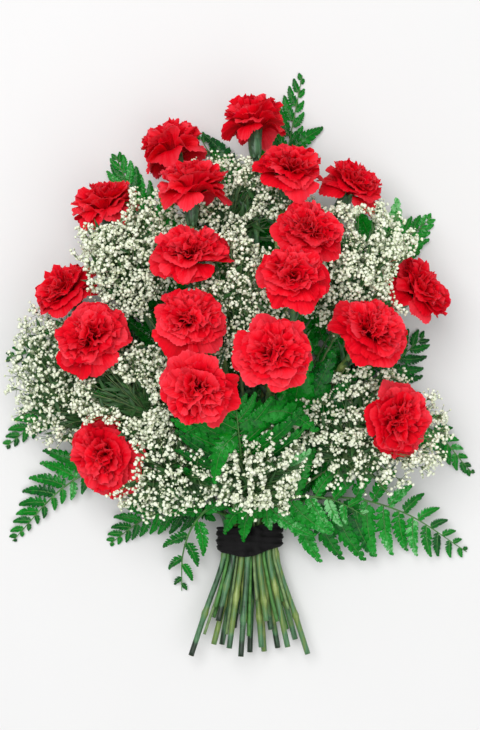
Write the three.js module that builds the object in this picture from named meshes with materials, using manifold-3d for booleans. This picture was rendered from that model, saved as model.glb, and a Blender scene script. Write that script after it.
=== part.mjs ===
// A hand-tied bunch of red carnations with gypsophila and leatherleaf fern, lying on its back.
// Millimetres, +Z up. The surface it lies on is z = 0, the cut ends point to -Y and the top bloom to +Y.
// Every carnation, frond and spray is one stem that runs from its cut end through the ribbon to its head.
import * as THREE from "three";
import { mergeVertices } from "three/addons/utils/BufferGeometryUtils.js";
import Module from "manifold-3d";

const wasm = await Module();
wasm.setup();

// ---------------------------------------------------------------- driving dimensions

const TIE = new THREE.Vector3(11, -175, 20.5); // middle of the bundle inside the ribbon
const RIBBON_HALF = 17; // the ribbon covers this much of the bundle each way from the tie
const RIBBON_THICK = 2.4;
const RIBBON_SIDES = 20;
const STEM_RADIUS = 2.9;
const FROND_RADIUS = 2.1;
const SPRAY_RADIUS = 1.8;
const SLOT_GAP = 0.3; // between two stems in the tie
const BUNDLE_FLAT = 2.1; // the bundle is this many times wider than deep
const FOCUS = 26; // stems fan out as if from a point this far below the tie
const FOOT_LENGTHS = [58, 104]; // the shortest and the longest cut end below the ribbon
const FOOT_SHORT = 18; // the ends of fronds and sprays are this much shorter
const FOOT_SPREAD = 2.3; // the longest cut ends stand this many times wider than the tie
const CALYX_LENGTH = 28;
const CALYX_RADIUS = 6.8;
const CALYX_MOUTH = 5.2;
const BLOOM_RISE = 12; // from the calyx mouth to the middle of the bloom
const PETAL_RISE = 4; // from the calyx mouth to the lowest rim of a bloom that doesn't droop
const RUFFLE = 2.6; // how far that rim waves up and down
const BLOOM_SIDES = 20;
const PETAL_STEP = 4; // corners of the rim to each petal
const PETAL_NOTCH = 0.76; // how far in the cut between two petals goes
const SEAT_GAP = 0.3; // clearance between a piece and what carries it
const CLEAR = 0.5; // least distance from a leaflet or floret to any other piece
const FINEST = 0.05; // corners closer to a straight line than this are dropped
const LEAF_THICK = 1;
const RIB_HALF = 1.6; // half the width of the rib that carries the pinnae
const LEAF_TIP = 12; // the end leaflet of a frond
const LAP = 6; // a frond's rib runs this far back into its stalk
const FLORET_RADIUS = 8;

const RED = 0xe01525;
const STEM_GREEN = 0x5f8a52;
const FROND_GREEN = 0x14701f;
const SPRAY_WHITE = 0xe6ead6;
const RIBBON_BLACK = 0x1c1a1d;

// Carnations: middle of the bloom, the way its face leans in plan (degrees from +X),
// how far it leans from facing straight up, its radius and how far its lowest petals droop.
const CARNATIONS = [
  { at: [14, 245, 70], heading: 92, lean: 98, radius: 31, droop: 9 },
  { at: [-68, 219, 56], heading: 106, lean: 112, radius: 32, droop: 6 },
  { at: [-47, 176, 116], heading: 90, lean: 88, radius: 35.5, droop: 10 },
  { at: [49, 193, 114], heading: 80, lean: 55, radius: 33, droop: 2 },
  { at: [113, 180, 78], heading: 60, lean: 72, radius: 31, droop: 4 },
  { at: [-136, 161, 64], heading: 106, lean: 82, radius: 33, droop: 2 },
  { at: [68, 131, 134], heading: 70, lean: 42, radius: 34, droop: 1 },
  { at: [-48, 108, 146], heading: 90, lean: 48, radius: 37, droop: 1 },
  { at: [49, 85, 184], heading: 95, lean: 40, radius: 34, droop: 3 },
  { at: [-176, 77, 66], heading: 126, lean: 68, radius: 33, droop: 2 },
  { at: [178, 76, 78], heading: 40, lean: 54, radius: 36, droop: 2 },
  { at: [-145, 27, 120], heading: 130, lean: 28, radius: 38, droop: 2 },
  { at: [-47, 43, 174], heading: 80, lean: 26, radius: 35, droop: 1 },
  { at: [126, 33, 146], heading: 50, lean: 30, radius: 37, droop: 3 },
  { at: [33, 10, 208], heading: 80, lean: 16, radius: 37, droop: 2 },
  { at: [-39, -25, 198], heading: 250, lean: 24, radius: 37, droop: 2 },
  { at: [157, -54, 104], heading: 0, lean: 38, radius: 37, droop: 2 },
  { at: [-135, -90, 94], heading: 200, lean: 32, radius: 40, droop: 5 },
];

// Fronds: points that the rachis passes, the blade starting at the point numbered `from`,
// pairs of pinnae, the longest pinna and whether the pinnae are toothed.
const FRONDS = [
  {
    name: "top",
    path: [[18, -60, 12], [24, 50, 9], [40, 170, 7], [64, 298, 2]],
    from: 1,
    pairs: 9,
    pinna: 80,
    toothed: false,
  },
  {
    name: "top_left",
    path: [[0, -70, 20], [6, 50, 20], [2, 150, 16], [-44, 240, 3]],
    from: 1,
    pairs: 6,
    pinna: 60,
    toothed: false,
  },
  {
    name: "upper_left",
    path: [[-20, -80, 10], [-58, 30, 8], [-92, 124, 6], [-128, 216, 2]],
    from: 1,
    pairs: 9,
    pinna: 78,
    toothed: false,
  },
  {
    name: "upper_right",
    path: [[36, -90, 18], [80, 10, 14], [136, 94, 10], [197, 152, 2]],
    from: 1,
    pairs: 9,
    pinna: 76,
    toothed: false,
  },
  {
    name: "right",
    path: [[42, -110, 14], [92, -50, 14], [146, -8, 12], [190, 30, 2]],
    from: 1,
    pairs: 6,
    pinna: 66,
    toothed: false,
  },
  {
    name: "far_right",
    path: [[44, -122, 22], [112, -78, 22], [186, -62, 16], [240, -112, 2]],
    from: 1,
    pairs: 8,
    pinna: 44,
    toothed: false,
  },
  {
    name: "lower_right",
    path: [[52, -140, 32], [104, -134, 36], [166, -150, 24], [233, -192, 3]],
    from: 0,
    pairs: 8,
    pinna: 76,
    toothed: true,
  },
  {
    name: "over_ribbon",
    path: [[26, -144, 62], [54, -132, 68], [90, -134, 62], [126, -152, 44]],
    from: 0,
    pairs: 4,
    pinna: 50,
    toothed: true,
  },
  {
    name: "lower_left",
    path: [[-40, -122, 20], [-110, -94, 20], [-176, -122, 14], [-234, -181, 2]],
    from: 1,
    pairs: 8,
    pinna: 60,
    toothed: false,
  },
  {
    name: "left",
    path: [[-36, -110, 12], [-104, -46, 14], [-176, -38, 10], [-241, -84, 2]],
    from: 1,
    pairs: 8,
    pinna: 54,
    toothed: false,
  },
  {
    name: "far_left",
    path: [[-32, -96, 8], [-96, -10, 6], [-166, 20, 4], [-240, 8, 2]],
    from: 1,
    pairs: 8,
    pinna: 54,
    toothed: false,
  },
  {
    name: "front",
    path: [[6, -132, 64], [2, -96, 108], [-2, -58, 142], [-4, -34, 156]],
    from: 1,
    pairs: 4,
    pinna: 78,
    toothed: true,
  },
  {
    name: "below_left",
    path: [[-36, -142, 9], [-64, -146, 13], [-98, -158, 11], [-134, -184, 2]],
    from: 0,
    pairs: 6,
    pinna: 42,
    toothed: false,
  },
  {
    name: "by_stems",
    path: [[-34, -145, 46], [-48, -163, 40], [-58, -192, 24], [-60, -232, 2]],
    from: 0,
    pairs: 4,
    pinna: 30,
    toothed: false,
  },
];

// Gypsophila sprays: the place where the stem forks, the middle of the cloud of florets,
// half of its sizes and how many florets it carries.
const SPRAYS = [
  { name: "upper_left", crown: [-96, 60, 66], middle: [-113, 108, 88], half: [46, 60, 30], florets: 13 },
  { name: "far_left", crown: [-130, -60, 44], middle: [-184, -6, 56], half: [44, 70, 28], florets: 12 },
  { name: "left", crown: [-76, -60, 84], middle: [-108, -30, 108], half: [50, 50, 30], florets: 11 },
  { name: "lower_left", crown: [-50, -112, 80], middle: [-78, -98, 96], half: [60, 48, 34], florets: 14 },
  { name: "front", crown: [12, -128, 84], middle: [20, -106, 108], half: [48, 42, 34], florets: 13 },
  { name: "centre", crown: [0, 10, 112], middle: [0, 64, 130], half: [40, 66, 30], florets: 11 },
  { name: "right", crown: [90, 20, 80], middle: [121, 84, 98], half: [54, 50, 32], florets: 13 },
  { name: "lower_right", crown: [96, -98, 70], middle: [136, -86, 84], half: [66, 50, 32], florets: 14 },
  { name: "top", crown: [-6, 110, 64], middle: [8, 162, 76], half: [60, 44, 28], florets: 10 },
];

// ---------------------------------------------------------------- helpers

const UP = new THREE.Vector3(0, 0, 1);
const ALONG = new THREE.Vector3(0, 1, 0);
const point = (xyz) => new THREE.Vector3(...xyz);
const mix = (a, b, t) => a + (b - a) * t;

/** A seeded stream of numbers from 0 to 1, the same on every run. */
function seeded(seed) {
  let state = (seed * 2654435761) >>> 0;
  return () => {
    state = (state + 0x6d2b79f5) >>> 0;
    let t = state;
    t = Math.imul(t ^ (t >>> 15), t | 1);
    t ^= t + Math.imul(t ^ (t >>> 7), t | 61);
    return ((t ^ (t >>> 14)) >>> 0) / 4294967296;
  };
}

/** The unit vector that leans `lean` degrees from +Z towards `heading` degrees in plan. */
function facing(heading, lean) {
  const h = THREE.MathUtils.degToRad(heading);
  const l = THREE.MathUtils.degToRad(lean);
  return new THREE.Vector3(Math.sin(l) * Math.cos(h), Math.sin(l) * Math.sin(h), Math.cos(l));
}

/** A closed three.js geometry as a solid. */
function solidOf(geometry) {
  const bare = new THREE.BufferGeometry().setAttribute("position", geometry.getAttribute("position"));
  bare.setIndex(geometry.index);
  const merged = mergeVertices(bare, 1e-4);
  return new wasm.Manifold(
    new wasm.Mesh({
      numProp: 3,
      vertProperties: merged.attributes.position.array,
      triVerts: new Uint32Array(merged.index.array),
    }),
  );
}

/** A solid as a three.js geometry. */
function geometryOf(solid) {
  const mesh = solid.getMesh();
  const geometry = new THREE.BufferGeometry();
  geometry.setAttribute("position", new THREE.BufferAttribute(mesh.vertProperties, 3));
  geometry.setIndex(new THREE.BufferAttribute(mesh.triVerts, 1));
  geometry.computeVertexNormals();
  return geometry;
}

/** Moves every vertex of a geometry to where `place(x, y, z, index)` says. */
function reshape(geometry, place) {
  const position = geometry.getAttribute("position");
  for (let i = 0; i < position.count; i++) {
    const to = place(position.getX(i), position.getY(i), position.getZ(i), i);
    position.setXYZ(i, to.x, to.y, to.z);
  }
  return geometry;
}

/** Tangents along a path and two directions across it that don't twist. */
function framesAlong(path) {
  const frames = path.map((p, k) => ({
    tangent: path[Math.min(k + 1, path.length - 1)]
      .clone()
      .sub(path[Math.max(k - 1, 0)])
      .normalize(),
  }));
  let across = new THREE.Vector3(1, 0, 0);
  for (const frame of frames) {
    across.addScaledVector(frame.tangent, -across.dot(frame.tangent)).normalize();
    frame.across = across.clone();
    frame.up = across.clone().cross(frame.tangent);
  }
  return frames;
}

/** A capped cylinder bent along a path, with its own radius at each point. */
function bentTube(path, radii, sides) {
  const steps = path.length - 1;
  const frames = framesAlong(path);
  return reshape(new THREE.CylinderGeometry(1, 1, 1, sides, steps), (x, y, z) => {
    const k = Math.round((y + 0.5) * steps);
    return path[k]
      .clone()
      .addScaledVector(frames[k].across, x * radii[k])
      .addScaledVector(frames[k].up, z * radii[k]);
  });
}

// ---------------------------------------------------------------- stems through the tie

/** The stems of the bunch: what each is, its radius and the points it passes after the ribbon. */
function planStems() {
  const carnations = CARNATIONS.map((c, i) => {
    const axis = facing(c.heading, c.lean);
    const mouth = point(c.at).addScaledVector(axis, -BLOOM_RISE);
    const base = mouth.clone().addScaledVector(axis, -CALYX_LENGTH);
    const name = `carnation_${String(i + 1).padStart(2, "0")}`;
    const bloom = { middle: point(c.at), radius: c.radius, droop: c.droop };
    return { kind: "carnation", name, radius: STEM_RADIUS, aim: base, axis, mouth, base, bloom };
  });
  const fronds = FRONDS.map((f) => {
    const via = f.path.map(point);
    return { ...f, kind: "frond", name: `fern_${f.name}`, radius: FROND_RADIUS, aim: via[0], via };
  });
  const sprays = SPRAYS.map((s) => {
    const name = `gypsophila_${s.name}`;
    return { ...s, kind: "spray", name, radius: SPRAY_RADIUS, aim: point(s.crown) };
  });
  return [...carnations, ...fronds, ...sprays];
}

/** Gives each stem its slot in the tie: on the side it leans to, then packed close together. */
function packSlots(stems) {
  const LOOSE = 60; // how wide the slots lie before they are packed
  const PULL = 0.01; // how much one round draws them together, less and less
  const ROUNDS = 900;
  for (const stem of stems) {
    const reach = stem.aim.y - TIE.y + FOCUS;
    const side = (stem.aim.x - TIE.x) / reach;
    const height = ((stem.aim.z - TIE.z) / reach) * 0.8;
    stem.slot = new THREE.Vector2(side, height).multiplyScalar(LOOSE);
  }
  for (let round = 0; round < ROUNDS; round++) {
    const pull = PULL * (1 - round / ROUNDS);
    for (const { slot } of stems) {
      slot.x *= 1 - pull / BUNDLE_FLAT;
      slot.y *= 1 - pull * BUNDLE_FLAT;
    }
    for (let pass = 0; pass < 4; pass++) {
      stems.forEach((a, i) =>
        stems.slice(i + 1).forEach((b) => {
          const apart = b.slot.clone().sub(a.slot);
          const short = a.radius + b.radius + SLOT_GAP - apart.length();
          if (short <= 0) return;
          apart.setLength(short / 2);
          a.slot.sub(apart);
          b.slot.add(apart);
        }),
      );
    }
  }
}

/** The points of one stem from its cut end to its head, with the radius at each. */
function routeStem(stem, random) {
  const atTie = (dy) => new THREE.Vector3(TIE.x + stem.slot.x, TIE.y + dy, TIE.z + stem.slot.y);
  const below = atTie(-RIBBON_HALF - 2);
  const above = atTie(RIBBON_HALF + 2);
  const length = mix(...FOOT_LENGTHS, random()) - (stem.kind === "carnation" ? 0 : FOOT_SHORT);
  const spread = mix(1, FOOT_SPREAD, length / FOOT_LENGTHS[1]);
  const foot = new THREE.Vector3(
    TIE.x + stem.slot.x * spread + mix(-3, 3, random()),
    below.y - length,
    Math.max(TIE.z + stem.slot.y * mix(1, spread, 0.8), stem.radius),
  );
  const joint = foot.clone().lerp(below, mix(0.35, 0.65, random()));
  const end = stem.base ?? stem.via?.[0] ?? stem.aim;
  const next = stem.axis ?? (stem.via ? stem.via[1].clone().sub(end) : end.clone().sub(above));
  const reach = above.distanceTo(end);
  const start = end.clone().sub(above).normalize().multiplyScalar(0.7).add(ALONG).normalize();
  const curve = new THREE.CubicBezierCurve3(
    above,
    above.clone().addScaledVector(start, reach * 0.3),
    end.clone().addScaledVector(next.clone().normalize(), -reach * 0.3),
    end,
  );
  const steps = Math.max(2, Math.round(reach / 65));
  const climb = curve.getSpacedPoints(steps).slice(1);
  const r = stem.radius;
  stem.path = [foot, joint, below, above, ...climb];
  stem.radii = [r * 0.95, stem.kind === "carnation" ? r * 1.3 : r, r, r, ...climb.map(() => r)];
  stem.fixed = [false, false, true, true, ...climb.map((_, k) => k === climb.length - 1)];
  if (stem.kind === "carnation") {
    const up = (d) => stem.base.clone().addScaledVector(stem.axis, d);
    stem.radii[stem.radii.length - 1] = r * 1.2;
    stem.path.push(up(7), up(CALYX_LENGTH - 8), up(CALYX_LENGTH));
    stem.radii.push(CALYX_RADIUS * 0.92, CALYX_RADIUS, CALYX_MOUTH);
    stem.fixed.push(true, true, true);
  }
  if (stem.kind === "frond") {
    const rachis = new THREE.CatmullRomCurve3(stem.via);
    const share = stem.from / (stem.via.length - 1);
    const marks = [share, 0.25, 0.5, 0.75, 1].filter((t, i) => (i === 0 ? t > 0 : t > share + 0.08));
    for (const t of marks) {
      stem.path.push(rachis.getPointAt(t));
      stem.radii.push(mix(r, RIB_HALF, t));
      stem.fixed.push(true);
    }
  }
}

/** Closest points of segments p-q and u-v: their shares along each and the vector between them. */
function closest(p, q, u, v) {
  const d1 = q.clone().sub(p);
  const d2 = v.clone().sub(u);
  const r = p.clone().sub(u);
  const a = d1.lengthSq();
  const e = d2.lengthSq();
  const f = d2.dot(r);
  const c = d1.dot(r);
  const b = d1.dot(d2);
  const clamp = (x) => Math.min(1, Math.max(0, x));
  const flat = a * e - b * b;
  let s = flat > 1e-9 ? clamp((b * f - c * e) / flat) : 0.5;
  const t = clamp((b * s + f) / e);
  s = clamp((b * t - c) / a);
  const gap = u.clone().addScaledVector(d2, t).sub(p.clone().addScaledVector(d1, s));
  return { s, t, gap };
}

/** Bends the free points of the stems until no two stems touch and none passes through a bloom. */
function easeApart(stems) {
  const ROUNDS = 260;
  const NEAR = 30; // pairs of segments farther apart than this are looked at again later
  const AIRY = 1.6; // the gap between stems well above the tie
  const BLOOM_DEPTH = 24; // no other stem passes this near a bloom's middle, along its axis
  const BLOOM_ROOM = 5; // or this near its rim, across it
  const STRIDE = 1.5; // how far one round moves a stem that is in a bloom's way
  const carnations = stems.filter((stem) => stem.kind === "carnation");
  const segments = stems.flatMap((stem) => stem.path.slice(1).map((_, k) => ({ stem, k })));
  const between = (a, b) => {
    const [p, q] = a.stem.path.slice(a.k, a.k + 2);
    const [u, v] = b.stem.path.slice(b.k, b.k + 2);
    return closest(p, q, u, v);
  };
  let pairs = [];
  const nudge = (stem, k, by, share) => {
    if (stem.fixed[k]) return;
    stem.path[k].addScaledVector(by, share);
    stem.path[k].z = Math.max(stem.path[k].z, stem.radii[k]);
  };
  for (let round = 0; round < ROUNDS; round++) {
    if (round % 20 === 0) {
      pairs = [];
      segments.forEach((a, i) => {
        for (const b of segments.slice(i + 1)) {
          if (a.stem === b.stem) continue;
          if ([a, b].every(({ stem, k }) => stem.fixed[k] && stem.fixed[k + 1])) continue;
          if (between(a, b).gap.length() < NEAR) pairs.push([a, b]);
        }
      });
    }
    for (const [a, b] of pairs) {
      const { s, t, gap } = between(a, b);
      const ra = mix(a.stem.radii[a.k], a.stem.radii[a.k + 1], s);
      const rb = mix(b.stem.radii[b.k], b.stem.radii[b.k + 1], t);
      const rise = mix(a.stem.path[a.k].y, a.stem.path[a.k + 1].y, s) - TIE.y;
      const short = ra + rb + mix(SLOT_GAP, AIRY, THREE.MathUtils.smoothstep(rise, 20, 80)) - gap.length();
      if (short <= 0) continue;
      if (gap.lengthSq() < 1e-6) gap.copy(UP);
      gap.setLength(short * 0.5);
      nudge(a.stem, a.k, gap, -(1 - s));
      nudge(a.stem, a.k + 1, gap, -s);
      nudge(b.stem, b.k, gap, 1 - t);
      nudge(b.stem, b.k + 1, gap, t);
    }
    for (const { stem, k } of segments) {
      if (k < 3 || (stem.fixed[k] && stem.fixed[k + 1])) continue;
      for (const flower of carnations) {
        if (flower === stem) continue;
        for (const share of [0, 0.33, 0.67, 1]) {
          const from = stem.path[k].clone().lerp(stem.path[k + 1], share).sub(flower.bloom.middle);
          const height = from.dot(flower.axis);
          const out = from.clone().addScaledVector(flower.axis, -height).length();
          if (Math.abs(height) > BLOOM_DEPTH || out > flower.bloom.radius + BLOOM_ROOM) continue;
          const away = flower.axis.clone().multiplyScalar(-STRIDE);
          nudge(stem, k, away, 1 - share);
          nudge(stem, k + 1, away, share);
        }
      }
    }
  }
}

// ---------------------------------------------------------------- carnations

/** A bloom: four tiers of petals with notched, ruffled rims, from one turned profile. */
function bloomSolid(stem, seed) {
  const random = seeded(seed);
  const R = stem.bloom.radius;
  const even = (r, z) => Array.from({ length: BLOOM_SIDES }, () => ({ r, z }));
  const tier = (r, z, wave) => {
    // A rim of petals: deep notches between them, a tooth each side and a ruffle up and down.
    const turn = Math.floor(random() * PETAL_STEP);
    const phase = random() * Math.PI * 2;
    return Array.from({ length: BLOOM_SIDES }, (_, i) => {
      const step = (i + turn) % PETAL_STEP;
      const reach = step === 0 ? PETAL_NOTCH : mix(0.92, 1.04, random());
      const ruffle = (i % 2 ? wave : -wave) * mix(0.5, 1.1, random());
      const sway = 2 * Math.sin((i / BLOOM_SIDES) * Math.PI * 4 + phase);
      return { r: r * reach, z: z + ruffle + sway };
    });
  };
  const lowest = tier(R, PETAL_RISE - stem.bloom.droop, RUFFLE);
  // The underside is a shallow cone that clears the calyx's lip by SEAT_GAP where it comes nearest.
  const seat = Math.max(...lowest.map(({ r, z }) => (SEAT_GAP * r - z * CALYX_MOUTH) / (r - CALYX_MOUTH)));
  const rings = [
    even(0, seat),
    lowest,
    even(R * 0.5, 9),
    tier(R * 0.9, 13, 3),
    even(R * 0.42, 17),
    tier(R * 0.68, 23, 3),
    even(R * 0.24, 23),
    tier(R * 0.38, 29, 2.4),
    even(0, 24),
  ];
  const profile = rings.map(([{ r, z }]) => new THREE.Vector2(r, z));
  const turned = reshape(new THREE.LatheGeometry(profile, BLOOM_SIDES), (x, y, z, index) => {
    const i = Math.floor(index / rings.length) % BLOOM_SIDES;
    const { r, z: height } = rings[index % rings.length][i];
    const angle = (i / BLOOM_SIDES) * Math.PI * 2;
    return new THREE.Vector3(r * Math.sin(angle), height, r * Math.cos(angle));
  });
  turned.applyQuaternion(new THREE.Quaternion().setFromUnitVectors(ALONG, stem.axis));
  turned.translate(stem.mouth.x, stem.mouth.y, stem.mouth.z);
  return solidOf(turned);
}

// ---------------------------------------------------------------- ribbon

/** The wound ribbon: a sleeve that follows the outline of the packed stems, in overlapping turns. */
function ribbonSolid(stems) {
  const reach = (angle) =>
    Math.max(...stems.map((s) => s.slot.x * Math.cos(angle) + s.slot.y * Math.sin(angle) + s.radius));
  const step = (Math.PI * 2) / RIBBON_SIDES;
  const corner = (i, out) => {
    // Where two neighbouring tangent lines of the bundle's outline meet.
    const a = i * step;
    const b = a + step;
    const ha = reach(a) + SLOT_GAP + out;
    const hb = reach(b) + SLOT_GAP + out;
    const sin = Math.sin(b - a);
    return new THREE.Vector2(
      (ha * Math.sin(b) - hb * Math.sin(a)) / sin,
      (hb * Math.cos(a) - ha * Math.cos(b)) / sin,
    );
  };
  const T = RIBBON_THICK;
  const H = RIBBON_HALF;
  const rings = [
    { y: -H, out: 0, tilt: 0.5 },
    { y: -H, out: T, tilt: 1 },
    { y: -H * 0.35, out: T * 1.9, tilt: 1 },
    { y: -H * 0.2, out: T * 1.1, tilt: 1 },
    { y: H * 0.35, out: T * 1.9, tilt: -1 },
    { y: H * 0.5, out: T * 1.1, tilt: -1 },
    { y: H, out: T * 1.4, tilt: -1 },
    { y: H, out: 0, tilt: -0.5 },
    { y: -H, out: 0, tilt: 0.5 },
  ];
  const profile = rings.map((ring) => new THREE.Vector2(20 + ring.out, ring.y));
  const sleeve = reshape(new THREE.LatheGeometry(profile, RIBBON_SIDES), (x, y, z, index) => {
    const ring = rings[index % rings.length];
    const i = Math.floor(index / rings.length) % RIBBON_SIDES;
    const { x: cx, y: cz } = corner(i, ring.out);
    const wave = ring.tilt * 2.2 * Math.sin((i + 0.5) * step + 0.6);
    return new THREE.Vector3(TIE.x + cx, TIE.y + ring.y + wave, TIE.z + cz);
  });
  const made = solidOf(sleeve);
  return made.volume() < 0 ? solidOf(flipped(sleeve)) : made;
}

/** The same geometry with every face turned round. */
function flipped(geometry) {
  const index = geometry.index.array;
  for (let i = 0; i < index.length; i += 3) {
    [index[i + 1], index[i + 2]] = [index[i + 2], index[i + 1]];
  }
  return geometry;
}

// ---------------------------------------------------------------- placing without touching

const obstacles = []; // every stem and every finished piece, with the name of the plant it belongs to

/** Whether a new leaflet or floret of the plant `owner` stays CLEAR of everything else. */
function isClear(solid, owner) {
  const a = solid.boundingBox();
  return obstacles.every((other) => {
    if (other.owner === owner) return true;
    const b = other.box;
    const apart = [0, 1, 2].some((i) => a.min[i] > b.max[i] + CLEAR || b.min[i] > a.max[i] + CLEAR);
    return apart || solid.minGap(other.solid, CLEAR) >= CLEAR;
  });
}

function addObstacle(owner, solid) {
  obstacles.push({ owner, solid, box: solid.boundingBox() });
}

// ---------------------------------------------------------------- fern fronds

/** A blade of even thickness whose outline is given by its corners, each with its place and normal. */
function bladeSolid(corners) {
  // The outline is filled in plan, so that both faces are split alike and neither folds over itself.
  const key = (x, y) => `${Math.fround(x)},${Math.fround(y)}`;
  const places = new Map(corners.map((c) => [key(c.spot.x, c.spot.y), c]));
  const shape = new THREE.Shape(corners.map(({ spot }) => new THREE.Vector2(spot.x, spot.y)));
  const blade = new THREE.ExtrudeGeometry(shape, { depth: LEAF_THICK, bevelEnabled: false });
  reshape(blade, (x, y, z) => {
    const { spot, normal } = places.get(key(x, y));
    return spot.clone().addScaledVector(normal, z - LEAF_THICK / 2);
  });
  const made = solidOf(blade);
  return made.volume() < 0 ? solidOf(flipped(blade)) : made;
}

const PINNA_BELLY = 0.5; // the share of its length at which a pinna crowds its neighbour most

// The edge of a pinna: share of its length and of its half width, from root to tip.
const PLAIN_EDGE = [[0.34, 1]];
const TOOTHED_EDGE = [[0.3, 1], [0.42, 0.5], [0.68, 0.72]];

/** A frond: a thin blade cut in to its rib between toothed pinnae, on a stalk from the tie. */
function frondSolid(stem) {
  const rachis = new THREE.CatmullRomCurve3(stem.via);
  const whole = rachis.getLength();
  const start = (whole * stem.from) / (stem.via.length - 1);
  const spacing = (whole - LEAF_TIP - start) / stem.pairs;
  const corner = (along, across, drop) => {
    const t = THREE.MathUtils.clamp(along / whole, 0, 1);
    const tangent = rachis.getTangentAt(t);
    const normal = UP.clone().addScaledVector(tangent, -tangent.z).normalize();
    const side = normal.clone().cross(tangent).normalize();
    const spot = rachis.getPointAt(t);
    spot.addScaledVector(tangent, along - t * whole);
    spot.addScaledVector(side, across).addScaledVector(normal, -drop);
    spot.z = Math.max(spot.z, LEAF_THICK / 2);
    return { spot, normal };
  };
  const rib = (along) => mix(RIB_HALF, RIB_HALF * 0.6, along / whole);
  const bend = (along) => {
    // How fast the rachis turns to its left in plan, in radians for each millimetre.
    const ahead = [-1, 1].map((way) => THREE.MathUtils.clamp((along + way * spacing) / whole, 0, 1));
    const [a, b] = ahead.map((t) => rachis.getTangentAt(t));
    return (a.x * b.y - a.y * b.x) / (whole * (ahead[1] - ahead[0]));
  };
  const pinna = (along, way, angle, length, sag) => {
    // Corners of one pinna from the near side of its root, round its tip, to the far side.
    // Inside a bend of the rachis the pinnae draw together, so they are slimmer there.
    const tightening = Math.max(0, bend(along) * way) * PINNA_BELLY * length * Math.sin(angle);
    const room = spacing * Math.sin(angle) * 0.46 * Math.max(0.3, 1 - tightening);
    const wide = Math.min(3.5 + length * 0.16, room);
    const edge = stem.toothed ? TOOTHED_EDGE : PLAIN_EDGE;
    const at = (t, w) => {
      const x = along + t * length * Math.cos(angle) + w * wide * Math.sin(angle);
      const y = rib(along) + t * length * Math.sin(angle) - w * wide * Math.cos(angle);
      return corner(x, way * Math.max(y, rib(along) + 0.8), sag * t * t);
    };
    return [
      corner(along - 1.8, way * rib(along), 0),
      ...edge.map(([t, w]) => at(t, -w)),
      at(1, 0),
      ...edge.toReversed().map(([t, w]) => at(t, w)),
      corner(along + 1.8, way * rib(along), 0),
    ];
  };
  const sides = [1, -1].map((way) => {
    const corners = [];
    for (let i = 0; i < stem.pairs; i++) {
      const f = i / stem.pairs;
      const along = start + spacing * (i + 0.3 + (way > 0 ? 0 : 0.2));
      const angle = mix(1.15, 0.8, f);
      const length = stem.pinna * (1 - f) ** 0.7 * (i === 0 ? 0.85 : 1);
      const tries = [1, 0.75, 0.5].flatMap((share) => [4, -4, 10, -10].map((sag) => [share, sag]));
      const fits = tries
        .map(([share, sag]) => () => pinna(along, way, angle, length * share, sag))
        .find((make) => isClear(bladeSolid(make()), stem.name));
      if (fits) corners.push(...fits());
    }
    return corners;
  });
  const neck = whole - LEAF_TIP;
  const tip = [corner(neck, rib(neck), 0), corner(whole, 0, 0), corner(neck, -rib(neck), 0)];
  const back = corner(start - LAP, -RIB_HALF, 0);
  const foot = corner(start - LAP, RIB_HALF, 0);
  const blade = bladeSolid([foot, ...sides[0], ...tip, ...sides[1].toReversed(), back]);
  const last = stem.path.findIndex((p) => p.distanceTo(rachis.getPointAt(start / whole)) < 1);
  const stalk = bentTube(stem.path.slice(0, last + 1), stem.radii.slice(0, last + 1), 3);
  return solidOf(stalk).add(blade);
}

// ---------------------------------------------------------------- gypsophila sprays

/** A floret on its stalk: a slim stalk from `root` that opens to a small pointed head at `head`. */
function floretSolid(root, head, size) {
  const way = head.clone().sub(root);
  const reach = way.length();
  const profile = [
    new THREE.Vector2(0, 0),
    new THREE.Vector2(0.8, reach - size * 0.8),
    new THREE.Vector2(size, reach),
    new THREE.Vector2(0, reach + size * 0.6),
  ];
  const made = new THREE.LatheGeometry(profile, 4);
  made.applyQuaternion(new THREE.Quaternion().setFromUnitVectors(ALONG, way.normalize()));
  made.translate(root.x, root.y, root.z);
  return solidOf(made);
}

/** A spray: one stem, a few forks, and florets that fill the spray's own cloud where it is clear. */
function spraySolid(stem, seed) {
  const random = seeded(seed);
  const stalk = solidOf(bentTube(stem.path, stem.radii, 3));
  const pieces = [stalk];
  const crown = stem.path[stem.path.length - 1];
  const before = stem.path[stem.path.length - 2];
  const middle = point(stem.middle);
  const half = point(stem.half);
  const inCloud = (share) => {
    const angle = random() * Math.PI * 2;
    const z = random() * 1.5 - 0.5;
    const r = Math.sqrt(Math.max(0, 1 - z * z)) * share;
    return new THREE.Vector3(r * Math.cos(angle), r * Math.sin(angle), z * share).multiply(half).add(middle);
  };
  const forks = [{ from: before, to: crown }];
  for (let tries = 0; tries < 60 && forks.length < 5; tries++) {
    const from = crown.clone().lerp(before, mix(0.06, 0.5, random()));
    const to = inCloud(0.6);
    if (forks.some((f) => f.to.distanceTo(to) < 24)) continue;
    const branch = solidOf(bentTube([from, to], [1.2, 0.9], 3));
    if (!isClear(branch, stem.name)) continue;
    pieces.push(branch);
    forks.push({ from, to });
  }
  const heads = [];
  const roots = [];
  for (let tries = 0; tries < 1500 && heads.length < stem.florets; tries++) {
    const head = inCloud(mix(0.55, 1, random()));
    if (head.z < FLORET_RADIUS + 1) continue;
    if (heads.some((h) => h.distanceTo(head) < FLORET_RADIUS * 2.3)) continue;
    const fork = forks[Math.floor(random() * forks.length)];
    const root = fork.to.clone().lerp(fork.from, mix(0.04, 0.5, random()));
    if (roots.some((r) => r.distanceTo(root) < 4)) continue;
    const reach = root.distanceTo(head);
    if (reach < FLORET_RADIUS * 1.6 || reach > 46) continue;
    const floret = floretSolid(root, head, FLORET_RADIUS * mix(0.85, 1.1, random()));
    if (!isClear(floret, stem.name)) continue;
    pieces.push(floret);
    heads.push(head);
    roots.push(root);
  }
  return wasm.Manifold.union(pieces);
}

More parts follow.
